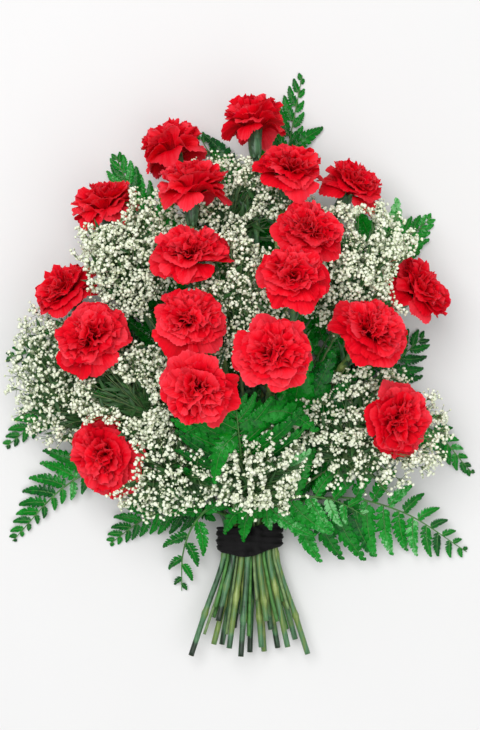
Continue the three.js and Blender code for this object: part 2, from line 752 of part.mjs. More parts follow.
// ---------------------------------------------------------------- the bunch

const materials = {
  bloom: new THREE.MeshStandardMaterial({ color: RED, roughness: 0.7 }),
  stem: new THREE.MeshStandardMaterial({ color: STEM_GREEN, roughness: 0.6 }),
  frond: new THREE.MeshStandardMaterial({ color: FROND_GREEN, roughness: 0.4 }),
  spray: new THREE.MeshStandardMaterial({ color: SPRAY_WHITE, roughness: 0.8 }),
  ribbon: new THREE.MeshStandardMaterial({ color: RIBBON_BLACK, roughness: 0.9 }),
};

const placed = [];

function place(name, solid, material) {
  const finished = solid.simplify(FINEST);
  placed.push({ name, solid: finished, material });
  addObstacle(name, finished);
}

const stems = planStems();
packSlots(stems);
const random = seeded(7);
stems.forEach((stem) => routeStem(stem, random));
easeApart(stems);
stems.forEach((stem) => addObstacle(stem.name, solidOf(bentTube(stem.path, stem.radii, 6))));

const carnations = stems.filter((s) => s.kind === "carnation");
for (const stem of carnations) {
  place(`${stem.name}_stem`, solidOf(bentTube(stem.path, stem.radii, 5)), materials.stem);
}
carnations.forEach((stem, i) => place(`${stem.name}_bloom`, bloomSolid(stem, 100 + i), materials.bloom));
place("ribbon", ribbonSolid(stems), materials.ribbon);
for (const stem of stems.filter((s) => s.kind === "frond")) {
  place(stem.name, frondSolid(stem), materials.frond);
}
stems
  .filter((s) => s.kind === "spray")
  .forEach((stem, i) => place(stem.name, spraySolid(stem, 300 + i), materials.spray));

// The bunch stands on z = 0, with its middle over the origin.
const bunch = new THREE.Group();
for (const { name, solid, material } of placed) {
  const mesh = new THREE.Mesh(geometryOf(solid), material);
  mesh.name = name;
  bunch.add(mesh);
}
const box = new THREE.Box3().setFromObject(bunch);
const centre = box.getCenter(new THREE.Vector3());
bunch.position.set(-centre.x, -centre.y, -box.min.z);

export default bunch;
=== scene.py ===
"""A hand-tied bunch of red carnations with gypsophila and fern, lying on its back.

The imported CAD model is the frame. Each stem, bloom, frond, spray and the ribbon is worked out as a surface
in metres round its own node, which it then stands for. Up in the picture is +Y, and the camera looks down -Z.
"""

from collections import namedtuple

import bpy
import numpy as np
from bpy.props import FloatProperty, FloatVectorProperty, IntProperty, PointerProperty
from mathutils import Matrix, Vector


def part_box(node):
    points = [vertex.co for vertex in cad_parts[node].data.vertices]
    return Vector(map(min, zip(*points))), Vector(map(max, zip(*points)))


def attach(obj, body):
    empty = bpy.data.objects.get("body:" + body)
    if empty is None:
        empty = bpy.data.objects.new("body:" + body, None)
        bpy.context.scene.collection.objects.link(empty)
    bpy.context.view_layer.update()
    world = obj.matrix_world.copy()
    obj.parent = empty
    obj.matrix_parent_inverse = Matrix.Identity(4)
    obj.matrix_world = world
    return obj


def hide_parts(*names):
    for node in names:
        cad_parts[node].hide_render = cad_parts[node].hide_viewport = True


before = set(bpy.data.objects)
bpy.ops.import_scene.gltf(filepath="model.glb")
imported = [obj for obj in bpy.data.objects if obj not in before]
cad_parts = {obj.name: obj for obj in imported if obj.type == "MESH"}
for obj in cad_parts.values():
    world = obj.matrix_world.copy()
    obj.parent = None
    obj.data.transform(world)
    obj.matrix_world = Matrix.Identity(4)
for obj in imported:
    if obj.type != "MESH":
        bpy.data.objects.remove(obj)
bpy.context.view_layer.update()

bl_info = {
    "name": "Hand-tied carnations",
    "version": (1, 0, 0),
    "blender": (4, 5, 0),
    "location": "3D View > Sidebar > Bunch",
    "description": "Makes the carnations, fern, gypsophila and ribbon of a hand-tied bunch round its frame",
    "category": "Add Mesh",
}

MM = 0.001
UP = np.array([0, 0, 1.0])
CARNATIONS = [f"carnation_{number:02d}" for number in range(1, 19)]

# What is added to a place in the tables below, in millimetres, to count it from the part's origin, which lies
# under the middle of its box.
TABLES_TO_FRAME = np.array([0.49, -0.79, 0.0])

# Blooms: the headings of the whorls that a bloom's heart splits into, the heading in which it nods from its
# calyx and how far, and the seed of its petals. Headings are in degrees from +X towards +Y.
BLOOMS = [
    ([180, 60, -30], 90, 0.0, 201),
    ([150, 30], 90, 0.0, 102),
    ([200, 80, -30], 90, 0.1, 103),
    ([150, 20, -60], 90, 0.0, 104),
    ([120, 20, -60], 240, 0.2, 205),
    ([160, 90, 0], 100, 0.1, 106),
    ([110, 200, -40], 80, 0.0, 107),
    ([150, 60, 0, -110], 90, 0.05, 208),
    ([130, 50, -70], 90, 0.05, 109),
    ([150, 60, -50, -120], 300, 0.15, 110),
    ([130, -50], 42, 0.4, 111),
    ([190, 80, 15, 250], 120, 0.1, 112),
    ([100, 10, 220], 80, 0.15, 113),
    ([165, 60, -30], 60, 0.1, 114),
    ([90, 195, -20], 90, 0.15, 115),
    ([150, 70, 0, 240], 180, 0.1, 116),
    ([130, 50, -50, 220], 200, 0.1, 117),
    ([95, 10, 190, 275], 190, 0.1, 118),
]

# Fronds: the line of the rachis in millimetres, the point where the blade starts, its pairs of pinnae, the
# length of the longest one, how light its green is, how wide its pinnae open, in degrees, and the share by
# which they are shorter on its left, or on its right where it is negative.
Frond = namedtuple("Frond", "via first pairs longest light opening lopsided")
FROND_ROWS = {
    "top": ([[18, -60, 12], [24, 50, 9], [40, 170, 7], [64, 298, 2]], 1, 9, 78, 0.58, 50, -0.4),
    "top_left": ([[0, -70, 20], [6, 50, 20], [2, 150, 16], [-44, 240, 3]], 1, 6, 60, 0.4, 56, 0.0),
    "upper_left": ([[-20, -80, 10], [-58, 30, 8], [-92, 124, 6], [-128, 216, 2]], 1, 9, 84, 0.62, 50, 0.0),
    "upper_right": ([[36, -90, 18], [80, 10, 14], [136, 94, 10], [197, 152, 2]], 1, 9, 76, 0.85, 52, 0.0),
    "right": ([[42, -110, 14], [92, -50, 14], [146, -8, 12], [190, 30, 2]], 1, 6, 66, 0.35, 56, 0.0),
    "far_right": ([[44, -122, 22], [112, -78, 22], [186, -62, 16], [240, -112, 2]], 1, 8, 44, 0.55, 56, 0.3),
    "lower_right": (
        [[52, -140, 32], [104, -134, 36], [166, -150, 24], [233, -192, 3]], 0, 8, 68, 0.62, 80, 0.3,
    ),
    "over_ribbon": (
        [[26, -144, 62], [54, -132, 68], [90, -134, 62], [126, -152, 44]], 0, 4, 50, 0.84, 70, 0.0,
    ),
    "lower_left": (
        [[-40, -122, 20], [-110, -94, 20], [-176, -122, 14], [-234, -181, 2]], 1, 8, 50, 0.62, 66, 0.55,
    ),
    "left": ([[-36, -110, 12], [-104, -46, 14], [-176, -38, 10], [-241, -84, 2]], 1, 8, 54, 0.45, 60, 0.3),
    "far_left": ([[-32, -96, 8], [-96, -10, 6], [-166, 20, 4], [-240, 8, 2]], 1, 8, 54, 0.35, 60, 0.0),
    "front": ([[6, -132, 64], [2, -96, 108], [-2, -58, 142], [-4, -34, 156]], 1, 4, 78, 0.6, 62, 0.0),
    "below_left": (
        [[-36, -142, 9], [-64, -146, 13], [-98, -158, 11], [-134, -184, 2]], 0, 6, 42, 0.5, 60, 0.3,
    ),
    "by_stems": ([[-34, -145, 46], [-48, -163, 40], [-58, -192, 24], [-60, -232, 2]], 0, 3, 34, 0.6, 56, 0.0),
}
FRONDS = {name: Frond(*row) for name, row in FROND_ROWS.items()}

# Sprays: where the stem forks, the middle of the cloud of florets and half of its sizes, in millimetres, and
# how thickly it flowers.
Spray = namedtuple("Spray", "fork middle half thickness")
SPRAY_ROWS = {
    "upper_left": ([-96, 60, 66], [-113, 108, 88], [48, 60, 30], 1.6),
    "far_left": ([-130, -60, 44], [-184, -6, 56], [44, 70, 28], 1.0),
    "left": ([-76, -60, 84], [-108, -30, 108], [50, 50, 30], 1.1),
    "lower_left": ([-50, -112, 80], [-78, -98, 96], [60, 48, 34], 1.0),
    "front": ([12, -128, 84], [20, -106, 110], [44, 40, 30], 1.7),
    "centre": ([0, 10, 112], [0, 64, 130], [40, 66, 30], 1.1),
    "right": ([90, 20, 80], [114, 94, 98], [63, 62, 32], 2.6),
    "lower_right": ([96, -98, 70], [128, -64, 86], [76, 58, 32], 1.6),
    "top": ([-6, 110, 64], [-4, 160, 76], [76, 44, 28], 1.3),
}
SPRAYS = {name: Spray(*row) for name, row in SPRAY_ROWS.items()}

# Pinnae besides those in the rows, each a line in millimetres that starts on its frond. Some hang forward
# over the ribbon, and others stand up between the blooms and over the gypsophila.
LOOSE_PINNAE = {
    "over_ribbon": [
        [[25, -143, 62], [8, -152, 58], [3, -178, 43]],
        [[24, -143, 61], [-4, -149, 57], [-16, -170, 44]],
        [[27, -143, 62], [27, -152, 57], [31, -166, 45]],
    ],
    "left": [
        [[-54, -94, 13], [-94, -56, 70], [-142, -26, 97]],
        [[-50, -97, 13], [-88, -70, 66], [-128, -54, 92]],
    ],
    "right": [
        [[42, -110, 15], [66, -44, 84], [92, 12, 110]],
        [[46, -105, 15], [86, -56, 78], [106, -12, 100]],
        [[42, -110, 15], [54, -36, 92], [66, 24, 122]],
    ],
    "front": [
        [[-1, -64, 136], [-18, -82, 141], [-25, -114, 130]],
        [[-2, -56, 143], [40, -44, 141], [76, -64, 126]],
        [[-2, -60, 140], [-28, -54, 142], [-52, -66, 132]],
    ],
    "by_stems": [[[-36, -149, 45], [-26, -143, 48], [-12, -143, 46]]],
    "below_left": [[[-40, -142, 10], [-36, -150, 26], [-26, -157, 36]]],
    "upper_right": [
        [[128, 84, 11], [130, 120, 66], [116, 152, 100]],
        [[140, 98, 10], [152, 132, 62], [156, 164, 80]],
        [[116, 66, 12], [100, 110, 84], [86, 142, 108]],
    ],
    "top_left": [
        [[-10, 182, 12], [-16, 214, 13], [-36, 236, 8]],
        [[-4, 170, 14], [-8, 198, 16], [-30, 222, 10]],
    ],
    "top": [
        [[50, 220, 5], [66, 232, 9], [85, 244, 4]],
        [[47, 208, 6], [64, 211, 10], [80, 216, 6]],
    ],
}

# Fronds that show in front of the gypsophila.
FERN_IN_FRONT = ("lower_right", "over_ribbon", "front")

# Places where no floret hides the leaves, seen from above: the middle and the radius in millimetres.
CLEARINGS = [
    [-126, -24, 17],
    [-104, -34, 17],
    [70, -14, 20],
    [76, 8, 20],
    [0, 160, 13],
    [20, 132, 15],
    [122, 136, 12],
]


def placed(place):
    """A place, or rows of places, from the tables above, in metres from the part's origin."""
    return (np.array(place, float) + TABLES_TO_FRAME) * MM


# ---------------------------------------------------------------- sizes and colours


def paint(red, green, blue):
    """The linear colour of a screen colour given out of 255."""
    return tuple(((c / 255 + 0.055) / 1.055) ** 2.4 for c in (red, green, blue))


def size(name, description, default):
    """A length of the bunch, in metres."""
    return FloatProperty(name=name, description=description, default=default, unit="LENGTH", precision=4)


def colour(name, description, default):
    """A colour of the bunch."""
    return FloatVectorProperty(
        name=name, description=description, default=default, subtype="COLOR", size=3, min=0, max=1
    )


class CarnationSettings(bpy.types.PropertyGroup):
    """Sizes and colours of the carnations."""

    petals: IntProperty(name="Petals", description="Petals in one bloom", default=60, min=30, max=90)
    petal_thickness: size("Petal thickness", "Thickness of a petal in its middle", 0.5 * MM)
    ruffle: size("Ruffle", "How far the rim of a petal waves up and down", 3.4 * MM)
    tooth: size("Tooth", "Depth of the teeth along the rim of a petal", 1.7 * MM)
    petal_red: colour("Petal red", "Colour of the open part of a petal", paint(232, 2, 30))
    # Deep red is painted shade: each petal darkens towards its claw, down among the others.
    petal_claw_shade: colour("Deep red", "Colour towards the claw of a petal", paint(176, 0, 16))
    stem_green: colour("Stem green", "Colour of the stems and calyces", paint(76, 126, 84))
    cut_pale: colour("Cut end", "Colour of the freshly cut end of a stem", paint(206, 208, 160))


class FernSettings(bpy.types.PropertyGroup):
    """Sizes and colours of the leatherleaf fern."""

    pinnule_pairs: IntProperty(name="Pinnule pairs", description="Pairs of leaflets on one pinna", default=9)
    blade_thickness: size("Blade thickness", "Thickness of a leaflet", 0.6 * MM)
    # Leaflets run from dark green to leaf green as each frond's lightness in the table and a random tone for
    # each pinna set them.
    leaf_green: colour("Leaf green", "Colour of the leaflets in the light", paint(0, 130, 22))
    leaf_dark: colour("Dark green", "Colour of the older leaflets", paint(8, 84, 30))
    rib_green: colour("Rib green", "Colour of the ribs", paint(88, 148, 72))


class GypsophilaSettings(bpy.types.PropertyGroup):
    """Sizes and colours of the gypsophila."""

    clusters: IntProperty(name="Clusters", description="Clusters of florets in one spray", default=90)
    florets: IntProperty(name="Florets", description="Florets in one cluster", default=16)
    floret_radius: size("Floret radius", "Radius of an open floret", 2.3 * MM)
    petal_white: colour("Petal white", "Colour of an open floret", paint(248, 253, 233))
    stalk_green: colour("Stalk green", "Colour of the thin stalks", paint(130, 160, 104))
    leaf_green: colour("Leaf green", "Colour of the narrow leaves", paint(52, 100, 46))


class RibbonSettings(bpy.types.PropertyGroup):
    """Sizes and colour of the ribbon."""

    width: size("Width", "Width of the ribbon as cut", 30 * MM)
    turns: IntProperty(name="Turns", description="Turns round the stems", default=3, min=1, max=5)
    thickness: size("Thickness", "Thickness of the cloth", 0.5 * MM)
    black: colour("Black", "Colour of the cloth", paint(11, 9, 11))


class StageSettings(bpy.types.PropertyGroup):
    """The camera, the floor and the light."""

    camera_height: size("Camera height", "Height of the camera over the floor", 2.1)
    picture_height: size("Picture height", "Height of the picture in the bunch's middle plane", 0.730)
    middle_plane: size("Middle plane", "Height of the plane that fills the picture", 0.060)
    floor_size: size("Floor size", "Side of the square floor", 4.0)
    floor_pale: colour("Floor", "Colour of the floor", paint(232, 232, 232))
    key_watts: FloatProperty(name="Key light", description="Power of the key light", default=49, unit="POWER")
    world_light: FloatProperty(name="Surround", description="Strength of the light all round", default=0.45)


# ---------------------------------------------------------------- surfaces

# Points, lists of faces of three or four corners, three numbers for each point that the materials read,
# whether each point lies on a keen edge, and the number of the surface's material.
Surface = namedtuple("Surface", "points faces tags keen finish")


def unit(vectors):
    """Vectors made 1 long."""
    return vectors / np.maximum(np.linalg.norm(vectors, axis=-1, keepdims=True), 1e-12)


def square_to(vectors, ways):
    """Vectors less what they reach along some unit ones, made 1 long."""
    return unit(vectors - (vectors * ways).sum(-1, keepdims=True) * ways)


def guide_of(ways):
    """A direction well away from each of some directions: +X where it is steep, and +Z elsewhere."""
    return np.where(np.abs(ways[..., 2:]) > 0.7, [1.0, 0, 0], UP)


def turned(angle, across, side):
    """Directions at some angles a round an axis: cos a * across + sin a * side."""
    return np.cos(angle)[..., None] * across + np.sin(angle)[..., None] * side


def mix(a, b, share):
    """The value that lies at `share` of the way from a to b."""
    return a + (b - a) * share


def bent(start, bend, stop, share):
    """The value at `share` of the quadratic curve that runs from start to stop and bends towards `bend`."""
    return (1 - share) ** 2 * start + 2 * share * (1 - share) * bend + share**2 * stop


def threes(x, y, z):
    """Three arrays stretched to one another's shape, as three numbers for each point."""
    return np.stack(np.broadcast_arrays(x, y, z), axis=-1)


def over_grid(vectors):
    """Vectors given one to a grid, to be used at all the points of that grid."""
    return vectors[..., None, None, :]


def cells(number):
    """The four corners of each cell of a grid of point numbers, in turn."""
    corners = [number[:-1, :-1], number[1:, :-1], number[1:, 1:], number[:-1, 1:]]
    return np.stack([corner.ravel() for corner in corners], axis=1)


def repeated(faces, count, each):
    """The same faces for `count` shapes whose points follow one another, `each` to a shape."""
    return (faces[None] + each * np.arange(count)[:, None, None]).reshape(-1, faces.shape[1])


def thin_sheets(points, thickness, tags, finish=0):
    """Thin closed sheets, one round each grid of points.

    The front is the grid moved out along its normal by half the thickness, and the back the grid moved in.
    They share the points of the border, so that each sheet is closed and has a keen edge.
    """
    count, across, along, _ = points.shape
    normal = unit(np.cross(np.gradient(points, axis=1), np.gradient(points, axis=2)))
    inner = np.zeros((across, along), bool)
    inner[1:-1, 1:-1] = True
    front = points + np.where(inner[..., None], normal * thickness / 2, 0)
    back = (points - normal * thickness / 2)[:, inner]
    number = np.arange(across * along).reshape(across, along)
    behind = number.copy()
    behind[inner] = across * along + np.arange(inner.sum())
    faces = np.concatenate([cells(number), cells(behind)[:, ::-1]])
    each = across * along + inner.sum()
    tags = np.broadcast_to(tags, points.shape)
    keen = np.concatenate([~inner.ravel(), np.zeros(inner.sum(), bool)])
    return Surface(
        np.concatenate([front.reshape(count, -1, 3), back], axis=1).reshape(-1, 3),
        [repeated(faces, count, each)],
        np.concatenate([tags.reshape(count, -1, 3), tags[:, inner]], axis=1).reshape(-1, 3),
        np.tile(keen, count),
        finish,
    )


def ringed_solids(rings, poles, tags, finish=0):
    """Closed solids, each of rings of points joined by walls, with a pole that closes either end.

    The first ring's points are joined to the first pole, and the last ring's to the second.
    """
    count, steps, sides, _ = rings.shape
    number = np.arange(steps * sides).reshape(steps, sides)
    wrapped = np.concatenate([number, number[:, :1]], axis=1)
    walls = cells(wrapped)[:, [0, 3, 2, 1]]
    start = np.stack([np.full(sides, number.size), wrapped[0, 1:], wrapped[0, :-1]], axis=1)
    end = np.stack([np.full(sides, number.size + 1), wrapped[-1, :-1], wrapped[-1, 1:]], axis=1)
    each = number.size + 2
    return Surface(
        np.concatenate([rings.reshape(count, -1, 3), poles], axis=1).reshape(-1, 3),
        [repeated(walls, count, each), repeated(np.concatenate([start, end]), count, each)],
        np.broadcast_to(tags, (count, each, 3)).reshape(-1, 3),
        np.zeros(count * each, bool),
        finish,
    )


def tubes(paths, radii, sides, tags, finish=0):
    """Round stalks: a ring of points square to each path at each of its points, closed at both ends.

    A ring is centre + radius * (cos a * side + sin a * up), where side and up are square to the path.
    """
    tangent = unit(np.gradient(paths, axis=1))
    side = square_to(guide_of(unit(paths[:, -1:] - paths[:, :1])), tangent)
    up = np.cross(tangent, side)
    angle = np.linspace(0, 2 * np.pi, sides, endpoint=False)
    radii = np.broadcast_to(radii, paths.shape[:2])[:, :, None, None]
    rings = paths[:, :, None] + radii * turned(angle, side[:, :, None], up[:, :, None])
    tags = np.broadcast_to(tags, paths.shape)
    tags = np.concatenate([np.repeat(tags, sides, axis=1), tags[:, [0, -1]]], axis=1)
    return ringed_solids(rings, paths[:, [0, -1]], tags, finish)


def run_along(path):
    """How far each point of a path lies along it from its start."""
    return np.concatenate([[0], np.cumsum(np.linalg.norm(np.diff(path, axis=0), axis=1))])


def read_off(path, marks, at):
    """Points of a path whose own points carry rising marks, read off evenly between them at other marks."""
    return np.stack([np.interp(at, marks, path[:, axis]) for axis in range(3)], axis=1)


def spline(points, steps):
    """Points spread evenly along a smooth curve through a few given ones.

    Each knot lies the square root of a distance beyond the last. A point of the curve is mixed in three
    rounds from the four given points about it, each time by where it lies between their knots.
    """
    given = np.concatenate([[2 * points[0] - points[1]], points, [2 * points[-1] - points[-2]]])
    knot = np.concatenate([[0], np.cumsum(np.linalg.norm(np.diff(given, axis=0), axis=1) ** 0.5)])
    t = np.linspace(knot[1], knot[-2], 24 * len(points))
    k = np.clip(np.searchsorted(knot, t, side="right") - 1, 1, len(given) - 3)
    p, s = [given[k + i] for i in (-1, 0, 1, 2)], [knot[k + i] for i in (-1, 0, 1, 2)]

    def between(a, b, start, stop):
        """The mix of a and b by where each point lies between two knots."""
        return mix(a, b, ((t - start) / (stop - start))[:, None])

    a = [between(p[i], p[i + 1], s[i], s[i + 1]) for i in range(3)]
    b = [between(a[i], a[i + 1], s[i], s[i + 2]) for i in range(2)]
    curve = between(b[0], b[1], s[1], s[2])
    run = run_along(curve)
    return read_off(curve, run, np.linspace(0, run[-1], steps))


def length_of(path):
    """The length of a path given by its points."""
    return np.linalg.norm(np.diff(path, axis=0), axis=1).sum()


def add_piece(name, surfaces, materials, nodes):
    """Puts surfaces in one mesh object that rides on the frame and stands for its CAD nodes."""
    starts = np.cumsum([0] + [len(s.points) for s in surfaces])
    faces = [(f + start, s.finish) for s, start in zip(surfaces, starts) for f in s.faces]
    loops = np.concatenate([f.ravel() for f, _ in faces])
    corners = np.concatenate([np.full(len(f), f.shape[1]) for f, _ in faces])
    finish = np.concatenate([np.full(len(f), number) for f, number in faces])
    mesh = bpy.data.meshes.new(name)
    mesh.vertices.add(starts[-1])
    mesh.vertices.foreach_set("co", np.concatenate([s.points for s in surfaces]).astype(np.float32).ravel())
    mesh.loops.add(len(loops))
    mesh.loops.foreach_set("vertex_index", loops.astype(np.int32))
    mesh.polygons.add(len(corners))
    mesh.polygons.foreach_set("loop_start", (np.cumsum(corners) - corners).astype(np.int32))
    mesh.polygons.foreach_set("material_index", finish.astype(np.int32))
    mesh.polygons.foreach_set("use_smooth", np.ones(len(corners), bool))
    mesh.update(calc_edges=True)
    ends = np.empty(len(mesh.edges) * 2, np.int32)
    mesh.edges.foreach_get("vertices", ends)
    keen = np.concatenate([s.keen for s in surfaces])[ends].reshape(-1, 2).all(axis=1)
    mesh.attributes.new("sharp_edge", "BOOLEAN", "EDGE").data.foreach_set("value", keen)
    tags = np.concatenate([s.tags for s in surfaces]).astype(np.float32)
    mesh.attributes.new("place", "FLOAT_VECTOR", "POINT").data.foreach_set("vector", tags.ravel())
    for material in materials:
        mesh.materials.append(material)
    piece = bpy.data.objects.new(name, mesh)
    bpy.context.collection.objects.link(piece)
    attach(piece, "root")
    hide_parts(*nodes)
    return piece


# ---------------------------------------------------------------- what the frame says


def joined(node):
    """The points of a CAD node with its doubles merged, and its triangles."""
    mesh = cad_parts[node].data
    points = np.empty(len(mesh.vertices) * 3)
    mesh.vertices.foreach_get("co", points)
    mesh.calc_loop_triangles()
    triangles = np.empty(len(mesh.loop_triangles) * 3, np.int32)
    mesh.loop_triangles.foreach_get("vertices", triangles)
    points = points.reshape(-1, 3)
    _, first, same = np.unique(np.round(points, 6), axis=0, return_index=True, return_inverse=True)
    return points[first], same.ravel()[triangles].reshape(-1, 3)


def ring_route(node, sides=5):
    """The centre of each ring of a plain stem, from its cut end up to its last ring.

    The lowest points are the first ring. The next ring is the points that share an edge with it and are in
    no ring yet, as long as there are `sides` of them.
    """
    points, triangles = joined(node)
    near = np.zeros((len(points), len(points)), bool)
    for a, b in ((0, 1), (1, 2), (2, 0)):
        near[triangles[:, a], triangles[:, b]] = near[triangles[:, b], triangles[:, a]] = True
    seen = np.zeros(len(points), bool)
    ring = np.isin(np.arange(len(points)), np.argsort(points[:, 1])[:sides])
    centres = []
    while ring.sum() == sides:
        seen |= ring
        centres.append(points[ring].mean(axis=0))
        ring = near[ring].any(axis=0) & ~seen
    return np.array(centres)


def section(points, triangles, y):
    """The points where the edges of a solid cross the plane square to Y at `y`."""
    ends = points[np.concatenate([triangles[:, [0, 1]], triangles[:, [1, 2]], triangles[:, [2, 0]]])]
    a, b = ends[:, 0], ends[:, 1]
    cut = (a[:, 1] < y) != (b[:, 1] < y)
    share = ((y - a[cut, 1]) / (b[cut, 1] - a[cut, 1]))[:, None]
    return mix(a[cut], b[cut], share)


def slice_route(node, goal, step=7 * MM, stray=8 * MM):
    """The line of a thin stalk from its cut end up to `goal`, from its sections by planes square to Y.

    A section's points count where they lie within `stray` of where the line would go on to.
    """
    points, triangles = joined(node)
    lowest = points[:, 1].min()
    route = [points[points[:, 1] < lowest + MM].mean(axis=0)]
    for y in np.arange(lowest + 2 * MM, goal[1] - step, step):
        expected = route[-1] if len(route) < 2 else 2 * route[-1] - route[-2]
        cut = section(points, triangles, y)
        cut = cut[np.linalg.norm(cut - expected, axis=1) < stray]
        if len(cut):
            route.append(cut.mean(axis=0))
    return np.array(route + [goal])


# Where a bloom sits: the mouth of its calyx, the bloom's axis and radius, and how high its rim stands.
Seat = namedtuple("Seat", "mouth axis radius rim")


def from_mouth(points, mouth, axis):
    """How far points lie from the mouth of a calyx, along its axis and out from it."""
    out = points - mouth
    height = out @ axis
    return height, np.linalg.norm(out - height[..., None] * axis, axis=-1)


def bloom_seats():
    """Where each bloom sits. Its axis is the stem's last stretch, and its radius is its furthest reach.

    Its rim stands as high as the lowest of its points that are further out than 0.7 of the radius.
    """
    seats = []
    for name in CARNATIONS:
        route = ring_route(f"{name}_stem")
        mouth, axis = route[-1], unit(route[-1] - route[-2])
        height, reach = from_mouth(joined(f"{name}_bloom")[0], mouth, axis)
        radius = reach.max()
        seats.append(Seat(mouth, axis, radius, height[reach > 0.7 * radius].min()))
    return seats


# A bloom's dome is part of an ellipsoid as wide as the bloom: how far above the mouth of the calyx its middle
# and its foot lie, and its height over its middle.
DOME_MIDDLE, DOME_FOOT, DOME_HEIGHT = 6 * MM, -4 * MM, 24 * MM


def in_a_bloom(points, seats, room):
    """Whether each point lies within a bloom's dome or nearer to it than `room`.

    A point does where (reach / radius) ** 2 + (height / dome's height) ** 2 < 1, each size with the room.
    """
    hit = np.zeros(points.shape[:-1], bool)
    for seat in seats:
        height, reach = from_mouth(points, seat.mouth, seat.axis)
        high = (height - DOME_MIDDLE) / (DOME_HEIGHT + room)
        hit |= ((reach / (seat.radius + room)) ** 2 + high**2 < 1) & (height > DOME_FOOT - room)
    return hit


# ---------------------------------------------------------------- materials


class Finish:
    """A procedural material: nodes added one by one and joined to its Principled shader."""

    def __init__(self, name, **sockets):
        self.material = bpy.data.materials.new(name)
        self.material.use_nodes = True
        self.tree = self.material.node_tree
        self.shader = self.tree.nodes["Principled BSDF"]
        for socket, value in sockets.items():
            self.shader.inputs[socket.replace("_", " ")].default_value = value

    def add(self, kind, inputs, **settings):
        """Adds a node. Each of its inputs is a value or the output of another node."""
        node = self.tree.nodes.new(kind)
        for setting, value in settings.items():
            setattr(node, setting, value)
        for socket, value in inputs.items():
            if isinstance(value, bpy.types.NodeSocket):
                self.tree.links.new(value, node.inputs[socket])
            else:
                node.inputs[socket].default_value = value
        return node.outputs

    def place(self, *scale):
        """The surface's own three numbers, stretched by `scale`."""
        own = self.add("ShaderNodeAttribute", {}, attribute_name="place")["Vector"]
        return self.add("ShaderNodeMapping", {"Vector": own, "Scale": scale})["Vector"]

    def spot(self, *scale):
        """The place on the object, stretched by `scale`."""
        at = self.add("ShaderNodeTexCoord", {})["Object"]
        return self.add("ShaderNodeMapping", {"Vector": at, "Scale": scale})["Vector"]

    def own(self, axis):
        """One of the surface's own three numbers."""
        return self.add("ShaderNodeSeparateXYZ", {"Vector": self.place(1, 1, 1)})[axis]

    def noise(self, vector, scale=1.0, detail=2.0):
        """Cloudy noise over a vector."""
        return self.add("ShaderNodeTexNoise", {"Vector": vector, "Scale": scale, "Detail": detail})["Fac"]

    def object_noise(self, scale):
        """Cloudy noise over the object."""
        return self.noise(self.spot(1, 1, 1), scale, detail=3)

    def sum(self, *terms):
        """Terms added up, each an output and how much it counts for."""
        total = None
        for output, weight in terms:
            inputs = {0: output, 1: weight, 2: 0.0 if total is None else total}
            total = self.add("ShaderNodeMath", inputs, operation="MULTIPLY_ADD")["Value"]
        return total

    def ramp(self, factor, *stops):
        """A colour picked along a row of stops, each a position and a colour."""
        node = self.tree.nodes.new("ShaderNodeValToRGB")
        self.tree.links.new(factor, node.inputs["Fac"])
        row = node.color_ramp.elements
        for _ in stops[2:]:
            row.new(0.5)
        for element, (position, shade) in zip(row, stops):
            element.position, element.color = position, (*shade, 1)
        return node.outputs["Color"]

    def done(self, shade, height, strength, distance=MM):
        """Joins the colour and the relief to the shader, and gives the material."""
        self.tree.links.new(shade, self.shader.inputs["Base Color"])
        relief = {"Height": height, "Strength": strength, "Distance": distance}
        bump = self.add("ShaderNodeBump", relief)["Normal"]
        self.tree.links.new(bump, self.shader.inputs["Normal"])
        return self.material


def scaled(shade, factor):
    """A colour made darker or lighter."""
    return tuple(min(1.0, c * factor) for c in shade)


def petal_finish(settings):
    """Carnation petals: matt red with fine lengthwise veins, with painted shade that darkens each towards its
    claw and a painted highlight along its rim.
    """
    finish = Finish(
        "petal_red", Roughness=0.6, Specular_IOR_Level=0.08,
        Subsurface_Weight=0.12, Subsurface_Radius=(1.0, 0.25, 0.2), Subsurface_Scale=4 * MM,
    )
    veins = finish.noise(finish.place(12, 1.6, 9), detail=3)
    cloud = finish.object_noise(60)
    level = finish.sum((finish.own("Y"), 0.5), (finish.own("Z"), 0.24), (veins, 0.26), (cloud, 0.22))
    # The claw end of the ramp is painted shade, darkest at the claw; the rim colour is a painted highlight
    # along each petal's rim.
    claw_shade, red, rim = settings.petal_claw_shade, settings.petal_red, paint(252, 62, 78)
    shade = finish.ramp(level, (0.24, scaled(claw_shade, 0.6)), (0.46, claw_shade), (0.74, red), (1.0, rim))
    return finish.done(shade, finish.sum((veins, 1), (cloud, 0.4)), 0.6)


def stem_finish(settings):
    """Carnation stems: each its own green, with dark and yellowish streaks lengthwise and paler joints; the
    darkest and palest streaks are in part painted shade and painted highlight.
    """
    finish = Finish("stem_green", Roughness=0.4, Specular_IOR_Level=0.5)
    rings = finish.noise(finish.place(9, 0.5, 30), detail=3)
    streaks = finish.noise(finish.spot(420, 26, 420), detail=3)
    cloud = finish.object_noise(70)
    own_shade, joints = finish.own("X"), finish.own("Z")
    level = finish.sum((streaks, 0.55), (rings, 0.2), (cloud, 0.3), (joints, 0.2), (own_shade, 0.1))
    green, olive, pale = settings.stem_green, paint(104, 130, 58), paint(168, 184, 112)
    # The near-black first stop and the pale last stop are in part real streaks, in part painted shade and
    # painted highlight.
    shade = finish.ramp(level, (0.3, scaled(green, 0.12)), (0.5, green), (0.68, olive), (0.95, pale))
    return finish.done(shade, streaks, 0.4)


def cut_finish(settings):
    """Cut ends: pale pith with darker fibres."""
    finish = Finish("cut_pale", Roughness=0.8, Specular_IOR_Level=0.2)
    grain = finish.object_noise(900)
    shade = finish.ramp(grain, (0.3, scaled(settings.cut_pale, 0.6)), (0.65, settings.cut_pale))
    return finish.done(shade, grain, 0.4)


